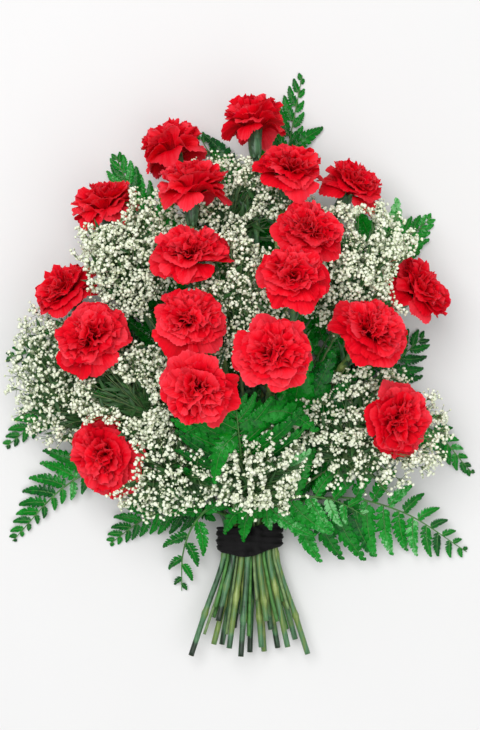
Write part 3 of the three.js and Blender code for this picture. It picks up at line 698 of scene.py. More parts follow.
def leaf_finish(settings):
    """Fern leaflets: glossy green, each of its own lightness and paler at its tip, with painted highlights in
    small pale spots and painted shade at the darkest.
    """
    finish = Finish("leaf_green", Roughness=0.4, Specular_IOR_Level=0.06, Coat_Weight=0.3, Coat_Roughness=0.1)
    veins = finish.noise(finish.place(3, 16, 40), detail=1)
    cloud, glint_patches = finish.object_noise(34), finish.object_noise(380)
    light, tip = finish.own("Z"), finish.own("Y")
    level = finish.sum((light, 0.4), (cloud, 0.4), (glint_patches, 0.4), (veins, 0.2), (tip, 0.05))
    dark, green = settings.leaf_dark, settings.leaf_green
    # The two palest stops are painted highlights, in small spots; the darkest stop is painted shade.
    shade = finish.ramp(
        level, (0.44, scaled(dark, 0.3)), (0.62, dark), (0.8, green), (0.92, paint(20, 152, 44)),
        (1.0, paint(128, 200, 132)),
    )
    return finish.done(shade, finish.sum((veins, 1), (glint_patches, 1.5)), 0.5)


def rib_finish(name, green):
    """Ribs and thin stalks: plain plant green with a little mottling."""
    finish = Finish(name, Roughness=0.5, Specular_IOR_Level=0.35)
    cloud = finish.object_noise(160)
    shade = finish.ramp(cloud, (0.3, scaled(green, 0.5)), (0.7, green))
    return finish.done(shade, cloud, 0.2)


def floret_finish(settings):
    """Gypsophila florets: off-white, greenish in the heart, creamy here and there."""
    finish = Finish("petal_white", Roughness=0.7, Specular_IOR_Level=0.2)
    grain = finish.object_noise(700)
    level = finish.sum((finish.own("Y"), 0.75), (grain, 0.25), (finish.own("Z"), 0.26))
    heart, cream = paint(124, 150, 74), paint(216, 228, 178)
    shade = finish.ramp(level, (0.12, heart), (0.5, cream), (0.95, settings.petal_white))
    return finish.done(shade, grain, 0.3)


def ribbon_finish(settings):
    """Black ribbon: crisp matt cloth with a fine cross weave and a soft sheen at its folds."""
    finish = Finish(
        "ribbon_black", Roughness=0.55, Specular_IOR_Level=0.2, Sheen_Weight=0.05, Sheen_Roughness=0.3,
    )
    weave = finish.noise(finish.place(60, 900, 1), detail=1)
    cloud = finish.object_noise(70)
    level = finish.sum((weave, 0.35), (cloud, 0.65))
    black = settings.black
    shade = finish.ramp(level, (0.35, scaled(black, 0.5)), (0.6, black), (0.8, scaled(black, 2.6)))
    return finish.done(shade, finish.sum((weave, 1), (cloud, 2)), 0.4)


# ---------------------------------------------------------------- carnations

# Broad petals in each ring of a bloom, from the outermost inwards; points across and along a petal; points
# round a stem, how far apart its joints are, the Y beyond which it has leaves, and the rings of the CAD stem
# that are its calyx; and the golden angle as a share of half a turn.
BROAD_RINGS = (5, 6, 7)
BROAD_GRID, HEART_GRID = (25, 8), (15, 7)
STEM_SIDES, JOINT_SPACING, RIBBON_TOP, CALYX_RINGS = 12, 64 * MM, -120 * MM, 3
GOLDEN_SHARE = 3 - 5**0.5


def petal_sheets(
    seat, random, shape, reach, rise, shoulder, foot, turn, spread, ruffle, cycles, tooth, drift
):
    """A ring of petals of one bloom, as grids of points.

    A petal is a fan: a point at angle u * spread from its middle line and share v of its length lies
    length * v * cos(u * spread) along that line and length * v * sin(u * spread) to the side of it. The
    line is a quadratic curve from the mouth of the calyx, up past its shoulder and over to its rim, each
    given as distances out from and along the bloom's axis. The fan is pushed along its normal by waves
    that grow with v squared, its rim is cut into teeth, and all of it drifts aside as v grows.
    """
    count, (across, along) = len(turn), shape

    def column(values):
        """One value for each petal, to be used at all the points of its grid."""
        return np.broadcast_to(values, count)[:, None, None]

    u = np.linspace(-1, 1, across)[None, :, None]
    v = np.linspace(0.02, 1, along)[None, None, :] ** 0.85
    phase = random.uniform(0, 2 * np.pi, (5, count, 1, 1))
    length = column(np.hypot(reach - foot[0], rise - foot[1]) + 5 * MM)
    every_second = (np.arange(across) % 2)[None, :, None]
    notch = tooth / length * every_second * random.uniform(0.2, 1.4, (count, across, 1))
    rim = 1 - notch - 0.14 * np.abs(u) ** 5 + 0.05 * np.sin(np.pi * 1.6 * u + phase[3]) * v
    run = v * rim * np.cos(u * column(spread))
    aside = length * v * rim * np.sin(u * column(spread))

    def curve(start, bend, stop):
        """A distance along the curve of the middle line, and how fast it grows."""
        a, b, c = column(start), column(bend), column(stop)
        return bent(a, b, c, run), 2 * (1 - run) * (b - a) + 2 * run * (c - b)

    out, out_slope = curve(foot[0], shoulder[0], reach)
    up, up_slope = curve(foot[1], shoulder[1], rise)
    steep = np.maximum(np.hypot(out_slope, up_slope), 1e-9)
    folds = (
        0.7 * np.sin(np.pi * column(cycles) * u + phase[0])
        + 0.4 * np.sin(np.pi * column(cycles) * 2.1 * u + phase[1] + 2 * v)
        + 0.14 * np.sin(np.pi * 9 * u + phase[2])
    )
    push = column(ruffle) * v**1.9 * folds + 0.006 * (aside / MM) ** 2 * MM
    out = out - push * up_slope / steep
    up = up + push * out_slope / steep

    away, sideways = radial(seat, column(turn)), radial(seat, column(turn) + np.pi / 2)
    points = seat.mouth + out[..., None] * away + aside[..., None] * sideways + up[..., None] * seat.axis
    points = points + v[..., None] ** 0.7 * drift
    return points, threes(u, v, column(random.random(count)))


def radial(seat, turn):
    """The directions out from a bloom's axis at some angles round it."""
    flat = unit(np.cross(seat.axis, [0.3, 1.0, 0.2]))
    return turned(turn, flat, np.cross(seat.axis, flat))


def heading_to(degrees):
    """The level directions that point in some headings."""
    return turned(np.radians(degrees), np.array([1.0, 0, 0]), np.array([0, 1.0, 0]))


def broad_petals(seat, whorls, flat_lying, settings, random):
    """The broad petals of a bloom: three rings of them, spaced evenly round it, that open outwards.

    They hang lower where they face up, away from the floor, and reach further beside a whorl. A bloom that
    lies flat opens its outer ring less and its inner ones more than one that stands up.
    """
    ring = np.repeat([0, 1, 2], BROAD_RINGS)
    many = len(ring)

    def by_ring(*values):
        """The value of each petal's ring."""
        return np.array(values)[ring]

    place = np.concatenate([np.arange(count) / count for count in BROAD_RINGS])
    turn = 2 * np.pi * place + ring * 0.5 + random.normal(0, 0.22, many)
    away = radial(seat, turn)
    full = mix(np.array([1.0, 0.9, 0.76]), np.array([0.95, 0.95, 0.84]), flat_lying)
    beside = (away @ whorls.T).max(axis=1)
    reach = seat.radius * full[ring] * random.uniform(0.86, 1.0, many) * (0.92 + 0.16 * beside)
    rim = np.maximum(seat.rim + mix(4 * MM, -4 * MM, flat_lying), -8 * MM)
    facing = np.maximum(away[:, 2], 0) * by_ring(1, 0.6, 0)
    rise = by_ring(rim, 0.3 * rim + 9 * MM, 17 * MM) + random.normal(0, 2.4 * MM, many) - 8 * MM * facing
    reach = reach * (1 - 0.12 * facing * flat_lying)
    shoulder = (reach * by_ring(0.55, 0.42, 0.34), by_ring(13, 16, 21) * MM)
    return petal_sheets(
        seat, random, BROAD_GRID, reach, rise, shoulder, (4 * MM, -1.5 * MM), turn,
        random.uniform(0.6, 0.85, many), settings.ruffle * random.uniform(0.6, 1.4, many),
        random.uniform(0.7, 1.5, many), settings.tooth * 0.6, np.zeros(3),
    )


def heart_petals(seat, whorls, flat_lying, settings, random):
    """The petals of a bloom's crumpled heart, which stand in a few whorls.

    In each whorl they follow one another by the golden angle, from its rim inwards, and stand lower the
    further out from the bloom's axis they end.
    """
    each = (settings.petals - sum(BROAD_RINGS)) // len(whorls)
    many = each * len(whorls)
    f = np.tile((np.arange(each) + 0.5) / each, len(whorls))
    drift = np.repeat(whorls, each, axis=0) * seat.radius * 0.36 + random.normal(0, 1.5 * MM, (many, 3))
    reach = seat.radius * (0.56 * (1 - f) ** 0.6 - 0.02) * random.uniform(0.85, 1.15, many)
    turn = np.arange(many) * np.pi * GOLDEN_SHARE + random.normal(0, 0.3, many)
    end = np.linalg.norm(drift + reach[:, None] * radial(seat, turn), axis=1) / seat.radius
    rise = (27 - 13 * end**2) * MM * (1 + 0.16 * flat_lying) + random.normal(0, 1.8 * MM, many)
    return petal_sheets(
        seat, random, HEART_GRID, reach, rise, (reach * 0.35, rise * 0.85), (1.5 * MM, -1 * MM), turn,
        random.uniform(0.4, 0.62, many), settings.ruffle * random.uniform(0.7, 1.3, many),
        random.uniform(1.5, 2.8, many), settings.tooth * 0.8, drift[:, None, None],
    )


def bloom(seat, number, settings):
    """The petals of one bloom: broad ones round a crumpled heart. The bloom nods a little from its calyx."""
    whorls, heading, nod, seed = BLOOMS[number - 1]
    random = np.random.default_rng(seed)
    flat_lying = np.clip(1.2 - 4 * seat.axis[2], 0, 1)
    seat = seat._replace(axis=unit(seat.axis + nod * heading_to(heading)))
    whorls = heading_to(np.array(whorls, float))
    whorls = whorls - (whorls @ seat.axis)[:, None] * seat.axis
    grids = [petals(seat, whorls, flat_lying, settings, random) for petals in (broad_petals, heart_petals)]
    return [thin_sheets(grid, settings.petal_thickness, tags) for grid, tags in grids]


def calyx(seat, base, seed):
    """The calyx: a turned cup with five shallow flutes, five pointed teeth and four bracts at its foot.

    The cup's radius at a share of its height is read from its profile, times 1 + 0.035 * share * cos 5a.
    """
    random = np.random.default_rng(seed)
    height = np.linalg.norm(seat.mouth - base)
    share = np.array([0, 0.1, 0.25, 0.45, 0.7, 0.88, 1.0, 1.03])
    radius = np.array([3.5, 5.4, 6.3, 6.7, 6.8, 6.5, 5.9, 3.0]) * MM
    angle = np.linspace(0, 2 * np.pi, 21)[None, :-1]
    flute = 1 + 0.035 * np.cos(5 * angle) * share[:, None]
    ring = (radius[:, None] * flute)[..., None] * radial(seat, angle)
    rings = base + ring + (share * height)[:, None, None] * seat.axis
    poles = np.stack([base, seat.mouth + seat.axis * MM])
    # The cup is tagged darker than the stem, and its scales a little less: in part the calyx's own darker
    # green, in part painted shade under the bloom.
    cup = ringed_solids(rings[None], poles[None], np.array([0, 0, -0.5]))

    def scales(count, low, high, near, far, half, turn):
        """Pointed scales round the cup, each a leaf shape from height `low` to `high`.

        They stand `near` from the axis at the foot and `far` at the tip, and curl inwards at their sides.
        """
        u = np.linspace(-1, 1, 5)[None, :, None]
        v = np.linspace(0, 1, 7)[None, None, :]
        angle = (np.arange(count) * 2 * np.pi / count + turn)[:, None, None]
        width = half * np.sin(np.pi * (0.16 + 0.84 * v)) ** 0.8 + 0.1 * MM
        out = mix(near, far, v**2) - 0.5 * width * u**2
        rise = np.broadcast_to(mix(low, high, v), out.shape)
        grid = base + out[..., None] * radial(seat, angle + width * u / near) + rise[..., None] * seat.axis
        return thin_sheets(grid, 0.5 * MM, np.array([0, 0, -0.3]))

    turn = random.uniform(0, 6)
    teeth = scales(5, height * 0.66, height + 5 * MM, 7.0 * MM, 8.6 * MM, 3.4 * MM, turn)
    bracts = scales(4, -1 * MM, 11 * MM, 5.0 * MM, 7.4 * MM, 3.0 * MM, turn + 0.4)
    return [cup, teeth, bracts]


def carnation_stem(name, seats, seed):
    """A stem from its cut end to its calyx, and where it ends.

    It is a smooth tube with evenly spaced joints, narrow leaves at some of them and a disc of pith at its cut
    end. Its radius swells by exp(-(distance / 3.6 mm) ** 2) round a joint. The calyx is left out.
    """
    random = np.random.default_rng(seed)
    knots = ring_route(f"{name}_stem")[:-CALYX_RINGS]
    path = spline(knots, int(length_of(knots) / (4 * MM)))
    run = np.linspace(0, length_of(knots), len(path))
    first = np.linalg.norm(knots[1] - knots[0])
    joints = np.arange(first, run[-1] - 20 * MM, JOINT_SPACING) + random.normal(0, 3 * MM)
    near = np.abs(run[:, None] - joints)
    swell = np.exp(-((near / (3.6 * MM)) ** 2)).sum(axis=1)
    glow = np.exp(-((near / (8 * MM)) ** 2)).sum(axis=1) - (run < 16 * MM) * random.uniform(0, 1.3)
    slim = np.interp(run, [0, run[-1] - 30 * MM, run[-1]], [2.85 * MM, 2.5 * MM, 3.0 * MM])
    radius = slim + 0.9 * MM * swell
    tags = np.stack([np.full_like(run, random.uniform(-2, 2)), run * 30, glow], axis=1)
    stem = tubes(path[None], radius[None], STEM_SIDES, tags[None])
    nodes = np.abs(run - joints[:, None]).argmin(axis=1)
    leaves = stem_leaves(path, nodes, seats, random)
    heel = unit(path[0] - path[1])
    disc = np.stack([path[0] - 0.4 * MM * heel, path[0] + 0.12 * MM * heel])
    pith = tubes(disc[None], radius[:1] * 0.93, STEM_SIDES, np.zeros(3), finish=1)
    return [stem, *leaves, pith], path[-1]


def stem_leaves(path, nodes, seats, random):
    """Pairs of narrow leaves at the joints above the ribbon, each arched away from the stem.

    A leaf is a strip whose line leaves the joint along the stem and bends outwards, v * length long, and
    whose half width is sin(pi * v) ** 0.6 of its broadest.
    """
    nodes = np.repeat(nodes[path[nodes, 1] > RIBBON_TOP], 2)
    if not len(nodes):
        return []
    ahead = unit(path[nodes] - path[nodes - 1])
    out = unit(np.cross(ahead, UP) + random.normal(0, 0.4, ahead.shape))
    out = out * np.where(np.arange(len(nodes)) % 2, 1.0, -1.0)[:, None]
    up = unit(np.cross(out, ahead))
    up = up * np.where(up[:, 2:] < 0, -1.0, 1.0)
    length = random.uniform(34, 58, (len(nodes), 1, 1, 1)) * MM
    u = np.linspace(-1, 1, 3)[:, None, None]
    v = np.linspace(0, 1, 10)[None, :, None]
    ahead, out = over_grid(ahead), over_grid(out)
    line = v * ahead * (1 - 0.35 * v) + 0.55 * v**1.4 * out - 0.12 * v**2 * UP
    side = unit(np.cross(ahead + out * v, over_grid(up)))
    width = 2.4 * MM * np.sin(np.pi * (0.1 + 0.88 * v)) ** 0.6
    grid = over_grid(path[nodes]) + length * line + u * width * side
    grid[..., 2] = np.maximum(grid[..., 2], 0.8 * MM)
    clear = ~in_a_bloom(grid, seats, 0).any(axis=(1, 2))
    return [thin_sheets(grid[clear], 0.6 * MM, threes(u - 1, v, 0)[..., 0, :])]


class BUNCH_OT_carnations(bpy.types.Operator):
    """Make the stems, calyces and blooms of the carnations"""

    bl_idname = "bunch.carnations"
    bl_label = "Carnations"

    def execute(self, context):
        settings = context.scene.bunch_carnations
        green, pale, red = stem_finish(settings), cut_finish(settings), petal_finish(settings)
        seats = bloom_seats()
        for number, (name, seat) in enumerate(zip(CARNATIONS, seats), start=1):
            stem, base = carnation_stem(name, seats, number)
            stem += calyx(seat, base, number)
            add_piece(f"{name}_stalk", stem, [green, pale], [f"{name}_stem"])
            petals = bloom(seat, number, settings)
            add_piece(f"{name}_petals", petals, [red], [f"{name}_bloom"])
        return {"FINISHED"}


# ---------------------------------------------------------------- fern

# Points along a rachis and along a pinna. A leaflet's grid: how far to the side its points lie, how wide its
# outline is at each step along it, and how far along those steps are.
RACHIS_STEPS, PINNA_STEPS = 121, 13
LEAFLET_ASIDE = np.array([-1, 0, 1.0])
LEAFLET_OUTLINE = np.array([0.4, 0.95, 0.78, 1.06, 0.72, 0.78, 0.4, 0.04])
LEAFLET_ALONG = np.linspace(0, 1, len(LEAFLET_OUTLINE))


def leaflets(foot, way, lift, length, half, random):
    """Leaflets as grids: pointed, with toothed sides, arched down along their length.

    A point at u across and v along lies v * length along `way` and u * half * outline(v) to its side, and
    drops with v squared; its sides fall a little from the middle rib.
    """
    u, v = LEAFLET_ASIDE[:, None], LEAFLET_ALONG
    jitter = random.uniform(0.8, 1.2, (*length.shape, len(u), len(v)))
    length, half = length[..., None, None], half[..., None, None]
    wide = (half * u * LEAFLET_OUTLINE * jitter)[..., None]
    run = (length * v)[..., None]
    drop = (length * 0.2 * v**2 + half * 0.35 * np.abs(u) * v)[..., None]
    side = np.cross(way, lift)
    grid = over_grid(foot) + run * over_grid(way) - wide * over_grid(side) - drop * over_grid(lift)
    return grid.reshape(-1, *jitter.shape[-2:], 3)


# A frond: the line of its stalk and rachis and its radius along that; and each pinna's line and length, half
# of its width where it is widest, and its upper side.
Blade = namedtuple("Blade", "line radius pinnae length half lift")


def fern_blade(name, seats):
    """A frond's stalk and rachis, and the lines of its pinnae.

    A pinna that is `share` of its side's count up the blade leaves it at 1 - (1 - share) ** 1.15 of its
    length, at the frond's own angle, narrower towards the tip. It curves a little forwards and sags with the
    square of its length. Its length falls evenly over the last four fifths of the blade. On the stalk below
    the blade the pinnae are spaced evenly.
    """
    plan = FRONDS[name]
    random = np.random.default_rng(len(name) * 31 + plan.pairs + plan.longest)
    via = placed(plan.via)
    rachis = spline(via, RACHIS_STEPS)
    whole = length_of(rachis)
    start = whole * plan.first / (len(via) - 1)
    line = np.concatenate([spline(slice_route(f"fern_{name}", via[0]), 30)[:-1], rachis])
    run = run_along(line)
    radius = np.interp(run, [0, run[-1] - whole + start, run[-1]], [2.0 * MM, 1.3 * MM, 0.4 * MM])

    count = round(plan.pairs * 1.5)
    spacing = (whole - start) / count * 1.3
    below = int(start * 0.95 / spacing)
    rank = np.repeat(np.arange(-below, count), 2)
    many = len(rank)
    hand = np.tile([-1.0, 1.0], count + below)
    step = (rank + 0.2 + 0.3 * (hand > 0)) / count
    share = np.maximum(step, 0)
    on_stalk = start + spacing * count * step
    on_blade = start + (whole - start) * (1 - (1 - share) ** 1.15)
    at = np.where(step < 0, on_stalk, on_blade) / whole * (RACHIS_STEPS - 1)
    marks = np.arange(RACHIS_STEPS)
    root, forward = read_off(rachis, marks, at), unit(read_off(unit(np.gradient(rachis, axis=0)), marks, at))
    lift = square_to(UP, forward)
    aside = np.cross(lift, forward) * hand[:, None]
    angle = np.radians(plan.opening) * mix(1.1, 0.75, share) + random.normal(0, 0.05, many)
    length = plan.longest * MM * np.minimum(1, 1.25 * (1 - share)) ** 0.95
    length = length * random.uniform(0.92, 1.06, many) + 3 * MM
    length *= 1 - np.maximum(plan.lopsided * hand, 0)
    room = spacing * (1 - share) ** 0.15 * np.sin(angle) * 0.42
    half = np.minimum(1.0 * MM + length * 0.11, room)
    tilt = random.normal(0, 0.1, many) * length
    sag = random.uniform(0.02, 0.12, many) * length
    steps = np.linspace(0, 1, PINNA_STEPS)[:, None]
    way = turned(angle[:, None] - 0.25 * steps[:, 0], forward[:, None], aside[:, None])
    pinnae = root[:, None] + length[:, None, None] * steps * way
    pinnae += lift[:, None] * (tilt[:, None, None] * steps - sag[:, None, None] * steps**2)
    pinnae[..., 2] = np.maximum(pinnae[..., 2], 1.2 * MM)
    clear = ~in_a_bloom(pinnae, seats, 1 * MM).any(axis=1)
    pinnae, length, half, lift = (rows[clear] for rows in (pinnae, length, half, lift))
    for ends in LOOSE_PINNAE.get(name, []):
        added = spline(placed(ends), PINNA_STEPS)
        pinnae, length = np.concatenate([pinnae, added[None]]), np.append(length, length_of(added))
        half, lift = np.append(half, 2.5 * MM + 0.09 * length[-1]), np.concatenate([lift, UP[None]])
    return Blade(line, radius, pinnae, length, half, lift)


def frond(name, seats, settings, seed):
    """One frond: stalk, rachis and pinnae as tubes, with leaflets on both sides of each pinna.

    The leaflets lean towards the pinna's tip, and shrink towards it as the pinna narrows to a point.
    """
    random = np.random.default_rng(seed)
    light = FRONDS[name].light
    blade = fern_blade(name, seats)
    pinnae, length = blade.pinnae, blade.length
    taper = np.linspace(0.6 * MM, 0.2 * MM, PINNA_STEPS)
    rows = settings.pinnule_pairs * 2
    f = ((np.arange(rows) + 0.6) / (rows + 0.4)) ** 0.95
    mark = f * (PINNA_STEPS - 1)
    low = np.minimum(mark.astype(int), PINNA_STEPS - 2)
    foot = mix(pinnae[:, low], pinnae[:, low + 1], (mark - low)[None, :, None])
    ahead = unit(pinnae[:, low + 1] - pinnae[:, low])
    up = square_to(blade.lift[:, None], ahead)
    out = np.cross(up, ahead) * np.where(np.arange(rows) % 2, 1.0, -1.0)[None, :, None]
    lean = mix(0.98, 0.26, f**1.5)[None, :, None] + random.normal(0, 0.06, (*foot.shape[:2], 1))
    way = unit(np.cos(lean) * ahead + np.sin(lean) * out + random.normal(0, 0.1, (*foot.shape[:2], 1)) * up)
    up = square_to(up, way)
    fall = np.minimum(1, 1.5 * (1 - f)) * np.minimum(1, 0.7 + 2 * f)
    reach = blade.half[:, None] / np.sin(np.maximum(lean[..., 0], 0.6)) * fall
    reach = reach + 1.0 * MM + 0.035 * length[:, None]
    width = np.minimum(length[:, None] / rows * 1.02, reach * 0.45) + 0.3 * MM
    grid = leaflets(foot, way, up, reach, width, random)
    grid[..., 2] = np.maximum(grid[..., 2], 0.6 * MM)
    tone = np.repeat(light + random.normal(0, 0.17, len(pinnae)), rows) + random.normal(0, 0.05, len(grid))
    tags = threes(LEAFLET_ASIDE[:, None], LEAFLET_ALONG, tone[:, None, None])
    rib_tags = np.array([0, 0, light])
    return [
        tubes(blade.line[None], blade.radius, 8, rib_tags, finish=1),
        tubes(pinnae, taper, 4, rib_tags, finish=1),
        thin_sheets(grid, settings.blade_thickness, tags),
    ]


class BUNCH_OT_fern(bpy.types.Operator):
    """Make the fronds of leatherleaf fern"""

    bl_idname = "bunch.fern"
    bl_label = "Fern"

    def execute(self, context):
        settings = context.scene.bunch_fern
        seats = bloom_seats()
        leaf, rib = leaf_finish(settings), rib_finish("rib_green", settings.rib_green)
        for seed, name in enumerate(FRONDS, start=300):
            surfaces = frond(name, seats, settings, seed)
            add_piece(f"frond_{name}", surfaces, [leaf, rib], [f"fern_{name}"])
        return {"FINISHED"}


# ---------------------------------------------------------------- gypsophila

# How many places are tried for the hubs of clusters; the steps along a leaflet that a narrow leaf keeps; the
# share of florets that are buds; and the points round the rim of an open floret and of a bud, with how far
# every second one is drawn in.
TRIES = 5000
NARROW_LEAF_STEPS = [0, 2, 4, 7]
BUD_SHARE = 0.35
OPEN_RIM, BUD_RIM = (10, 0.3), (5, 0.0)


def florets(centres, axes, radius, random, sides, notch):
    """Small double florets: a wide rim with a second, smaller ring domed above it.

    Ring j lies at its height along the floret's axis and its radius out from it; every second of its points
    is drawn in by the notch, so that a rim of ten points has five petals.
    """
    count = len(centres)
    across = unit(np.cross(axes, guide_of(axes)))
    side = np.cross(axes, across)
    out, rise, notch = np.array([1.04, 0.6]), np.array([0.0, 0.56]), notch * np.array([1, 0.5])
    angle = np.arange(sides) * 2 * np.pi / sides + random.uniform(0, 6, (count, 1))
    petal = 1 - notch[:, None] * (np.arange(sides) % 2)
    reach = out[:, None] * petal * random.uniform(0.8, 1.2, (count, 2, sides))
    height = rise[:, None] + random.normal(0, 0.1, (count, 2, sides))
    circle = turned(angle, across[:, None], side[:, None])
    offset = reach[..., None] * circle[:, None] + height[..., None] * axes[:, None, None]
    rings = centres[:, None, None] + radius[:, None, None, None] * offset
    poles = centres[:, None] + radius[:, None, None] * np.array([-0.9, 0.5])[None, :, None] * axes[:, None]
    tags = np.zeros((count, 2 * sides + 2, 3))
    tags[:, :, 1] = np.concatenate([np.repeat([1.0, 0.9], sides), [0.0, 0.75]])
    tags[:, :, 2] = random.random((count, 1)) - 0.8 * (radius[:, None] < 1.4 * MM)
    return ringed_solids(rings, poles, tags)


def seen_within(points, spot, radius):
    """Whether each point lies within a radius of a spot, seen from straight above."""
    return np.linalg.norm(points[..., :2] - spot[:2], axis=-1) < radius


def on_fern(points, lines, room=4 * MM):
    """Whether each point would show within `room` of the line of a pinna in front of the gypsophila."""
    hides = np.zeros(points.shape[:-1], bool)
    for spot in lines[:, ::2].reshape(-1, 3):
        hides |= seen_within(points, spot, room)
    return hides


def over_a_bloom(points, seats, share=0.85):
    """Whether each point would hide a clearing, or a bloom out to a share of its radius, from above."""
    hides = np.zeros(points.shape[:-1], bool)
    for x, y, radius in CLEARINGS:
        hides |= seen_within(points, placed([x, y, 0]), radius * MM)
    for seat in seats:
        middle = seat.mouth + 16 * MM * seat.axis
        hides |= seen_within(points, middle, share * seat.radius) & (points[..., 2] > middle[2])
    return hides


def barred(points, seats, lines, room):
    """Whether a cluster or floret at each point would cut into a bloom or hide what shows in front of it."""
    return in_a_bloom(points, seats, room) | over_a_bloom(points, seats) | on_fern(points, lines)


def cluster_hubs(plan, seats, lines, count, random):
    """The middles of a spray's clusters, spread through its ellipsoid, most of them in its upper half.

    Points are tried at random all through the ellipsoid. The first that isn't barred is a hub, and so is,
    time after time, the one that lies furthest from all the hubs so far.
    """
    ball = unit(random.normal(0, 1, (TRIES, 3))) * random.uniform(0, 1, (TRIES, 1)) ** 0.33
    ball[:, 2] = np.where(random.random(TRIES) < 0.75, np.abs(ball[:, 2]), ball[:, 2])
    tries = placed(plan.middle) + ball * (np.array(plan.half) * MM)
    tries = tries[~barred(tries, seats, lines, room=4 * MM)]
    kept = [tries[0]]
    for _ in range(count - 1):
        gap = np.linalg.norm(tries[:, None] - np.array(kept), axis=2).min(axis=1)
        kept.append(tries[gap.argmax()])
    return np.array(kept)


def narrow_leaves(crown, hubs, paths, seats, random):
    """Narrow leaves along the branches: leaflets with fewer steps that point outwards, each its own way."""
    foot = paths[:, 3:7].reshape(-1, 3)
    way = unit(np.repeat(unit(hubs - crown), 4, axis=0) + random.normal(0, 0.6, foot.shape) * [1, 1, 0.5])
    length = random.uniform(9, 20, len(foot)) * MM
    grid = leaflets(foot, way, square_to(UP, way), length, length * 0.13, random)[:, :, NARROW_LEAF_STEPS]
    grid[..., 2] = np.maximum(grid[..., 2], 0.6 * MM)
    clear = ~in_a_bloom(grid, seats, 0).any(axis=(1, 2))
    return thin_sheets(grid[clear], 0.5 * MM, np.zeros(3), finish=2)


def spray(name, seats, lines, settings, seed):
    """One spray: its stem, branches from the fork to each cluster, and a stalk to every floret.

    A branch is a quadratic curve that leaves the fork along the stem and bends out to its cluster. Florets
    stand round a cluster's middle, most of them away from the fork and upwards. Buds and the smallest of the
    open ones have a plain rim.
    """
    random = np.random.default_rng(seed)
    plan = SPRAYS[name]
    crown = placed(plan.fork)
    stem = spline(slice_route(f"gypsophila_{name}", crown), 40)
    hubs = cluster_hubs(plan, seats, lines, settings.clusters, random)
    bend = crown + unit(stem[-1] - stem[-4]) * np.linalg.norm(hubs - crown, axis=1)[:, None] * 0.5
    bend[:, 2] -= 8 * MM
    paths = bent(crown, bend[:, None], hubs[:, None], np.linspace(0, 1, 8)[:, None])
    leaves = narrow_leaves(crown, hubs, paths, seats, random)

    shape = (len(hubs), round(settings.florets * plan.thickness))
    away = unit(hubs - crown)[:, None] * 0.4 + unit(random.normal(0, 1, (*shape, 3)))
    away = unit(away + 0.45 * UP)
    heads = hubs[:, None] + away * random.uniform(3, 13, (*shape, 1)) * MM
    buds = random.random(shape) < BUD_SHARE
    sizes = settings.floret_radius * np.where(buds, 0.5, 0.9) * random.uniform(0.75, 1.25, shape)
    t = 1 - 2.5 * MM * random.random((*shape, 1)) / np.linalg.norm(hubs - bend, axis=1)[:, None, None]
    starts = bent(crown, bend[:, None], hubs[:, None], t)
    clear = ~barred(heads, seats, lines, room=1.5 * MM) & (heads[..., 2] >= 3 * MM)
    heads, away, sizes, starts = (rows[clear] for rows in (heads, away, sizes, starts))
    ends = heads - away * sizes[:, None] * 0.8
    small = sizes < 0.68 * settings.floret_radius
    return [
        tubes(stem[None], np.linspace(1.7 * MM, 1.1 * MM, len(stem)), 6, np.zeros(3), finish=1),
        tubes(paths, np.linspace(0.65 * MM, 0.3 * MM, paths.shape[1]), 4, np.zeros(3), finish=1),
        leaves,
        tubes(np.stack([starts, ends], axis=1), 0.25 * MM, 3, np.zeros(3), finish=1),
        florets(heads[~small], away[~small], sizes[~small], random, *OPEN_RIM),
        florets(heads[small], away[small], sizes[small], random, *BUD_RIM),
    ]


class BUNCH_OT_gypsophila(bpy.types.Operator):
    """Make the sprays of gypsophila"""

    bl_idname = "bunch.gypsophila"
    bl_label = "Gypsophila"

    def execute(self, context):
        settings = context.scene.bunch_gypsophila
        seats = bloom_seats()
        finishes = [
            floret_finish(settings),
            rib_finish("stalk_green", settings.stalk_green),
            rib_finish("leaf_narrow", settings.leaf_green),
        ]
        lines = np.concatenate([fern_blade(name, seats).pinnae for name in FERN_IN_FRONT])
        for seed, name in enumerate(SPRAYS, start=500):
            surfaces = spray(name, seats, lines, settings, seed)
            add_piece(f"spray_{name}", surfaces, finishes, [f"gypsophila_{name}"])
        return {"FINISHED"}


# ---------------------------------------------------------------- ribbon

# The ribbon's grid, in steps for each turn and points across; the angle at which it starts, at the back; the
# number of heights at which its sleeve is measured, and of waves that make up its outline at each.
RIBBON_STEPS, RIBBON_ACROSS, RIBBON_START = 96, 27, -1.9
SLEEVE_LEVELS, SLEEVE_WAVES = 5, 7


def sleeve_wall(heights):
    """The middle of the tie, and the radius of its CAD sleeve at each height as a sum of waves round it.

    The sleeve's sections by planes square to Y give points of both walls. The radius halfway between the
    walls is the sum of the waves that fits them best.
    """
    points, triangles = joined("ribbon")
    middle = (points.min(axis=0) + points.max(axis=0)) / 2
    fits = []
    for y in heights:
        out = section(points, triangles, y) - middle
        radius, angle = np.hypot(out[:, 0], out[:, 2]), np.arctan2(out[:, 2], out[:, 0])
        fits.append(np.linalg.lstsq(waves(angle), radius, rcond=None)[0])
    return middle, np.array(fits)


def waves(angle):
    """1, then cos(k a) and sin(k a) for k up to the sleeve's number of waves, for each angle a."""
    turns = angle[..., None] * np.arange(1, SLEEVE_WAVES + 1)
    return np.concatenate([np.ones_like(angle)[..., None], np.cos(turns), np.sin(turns)], axis=-1)


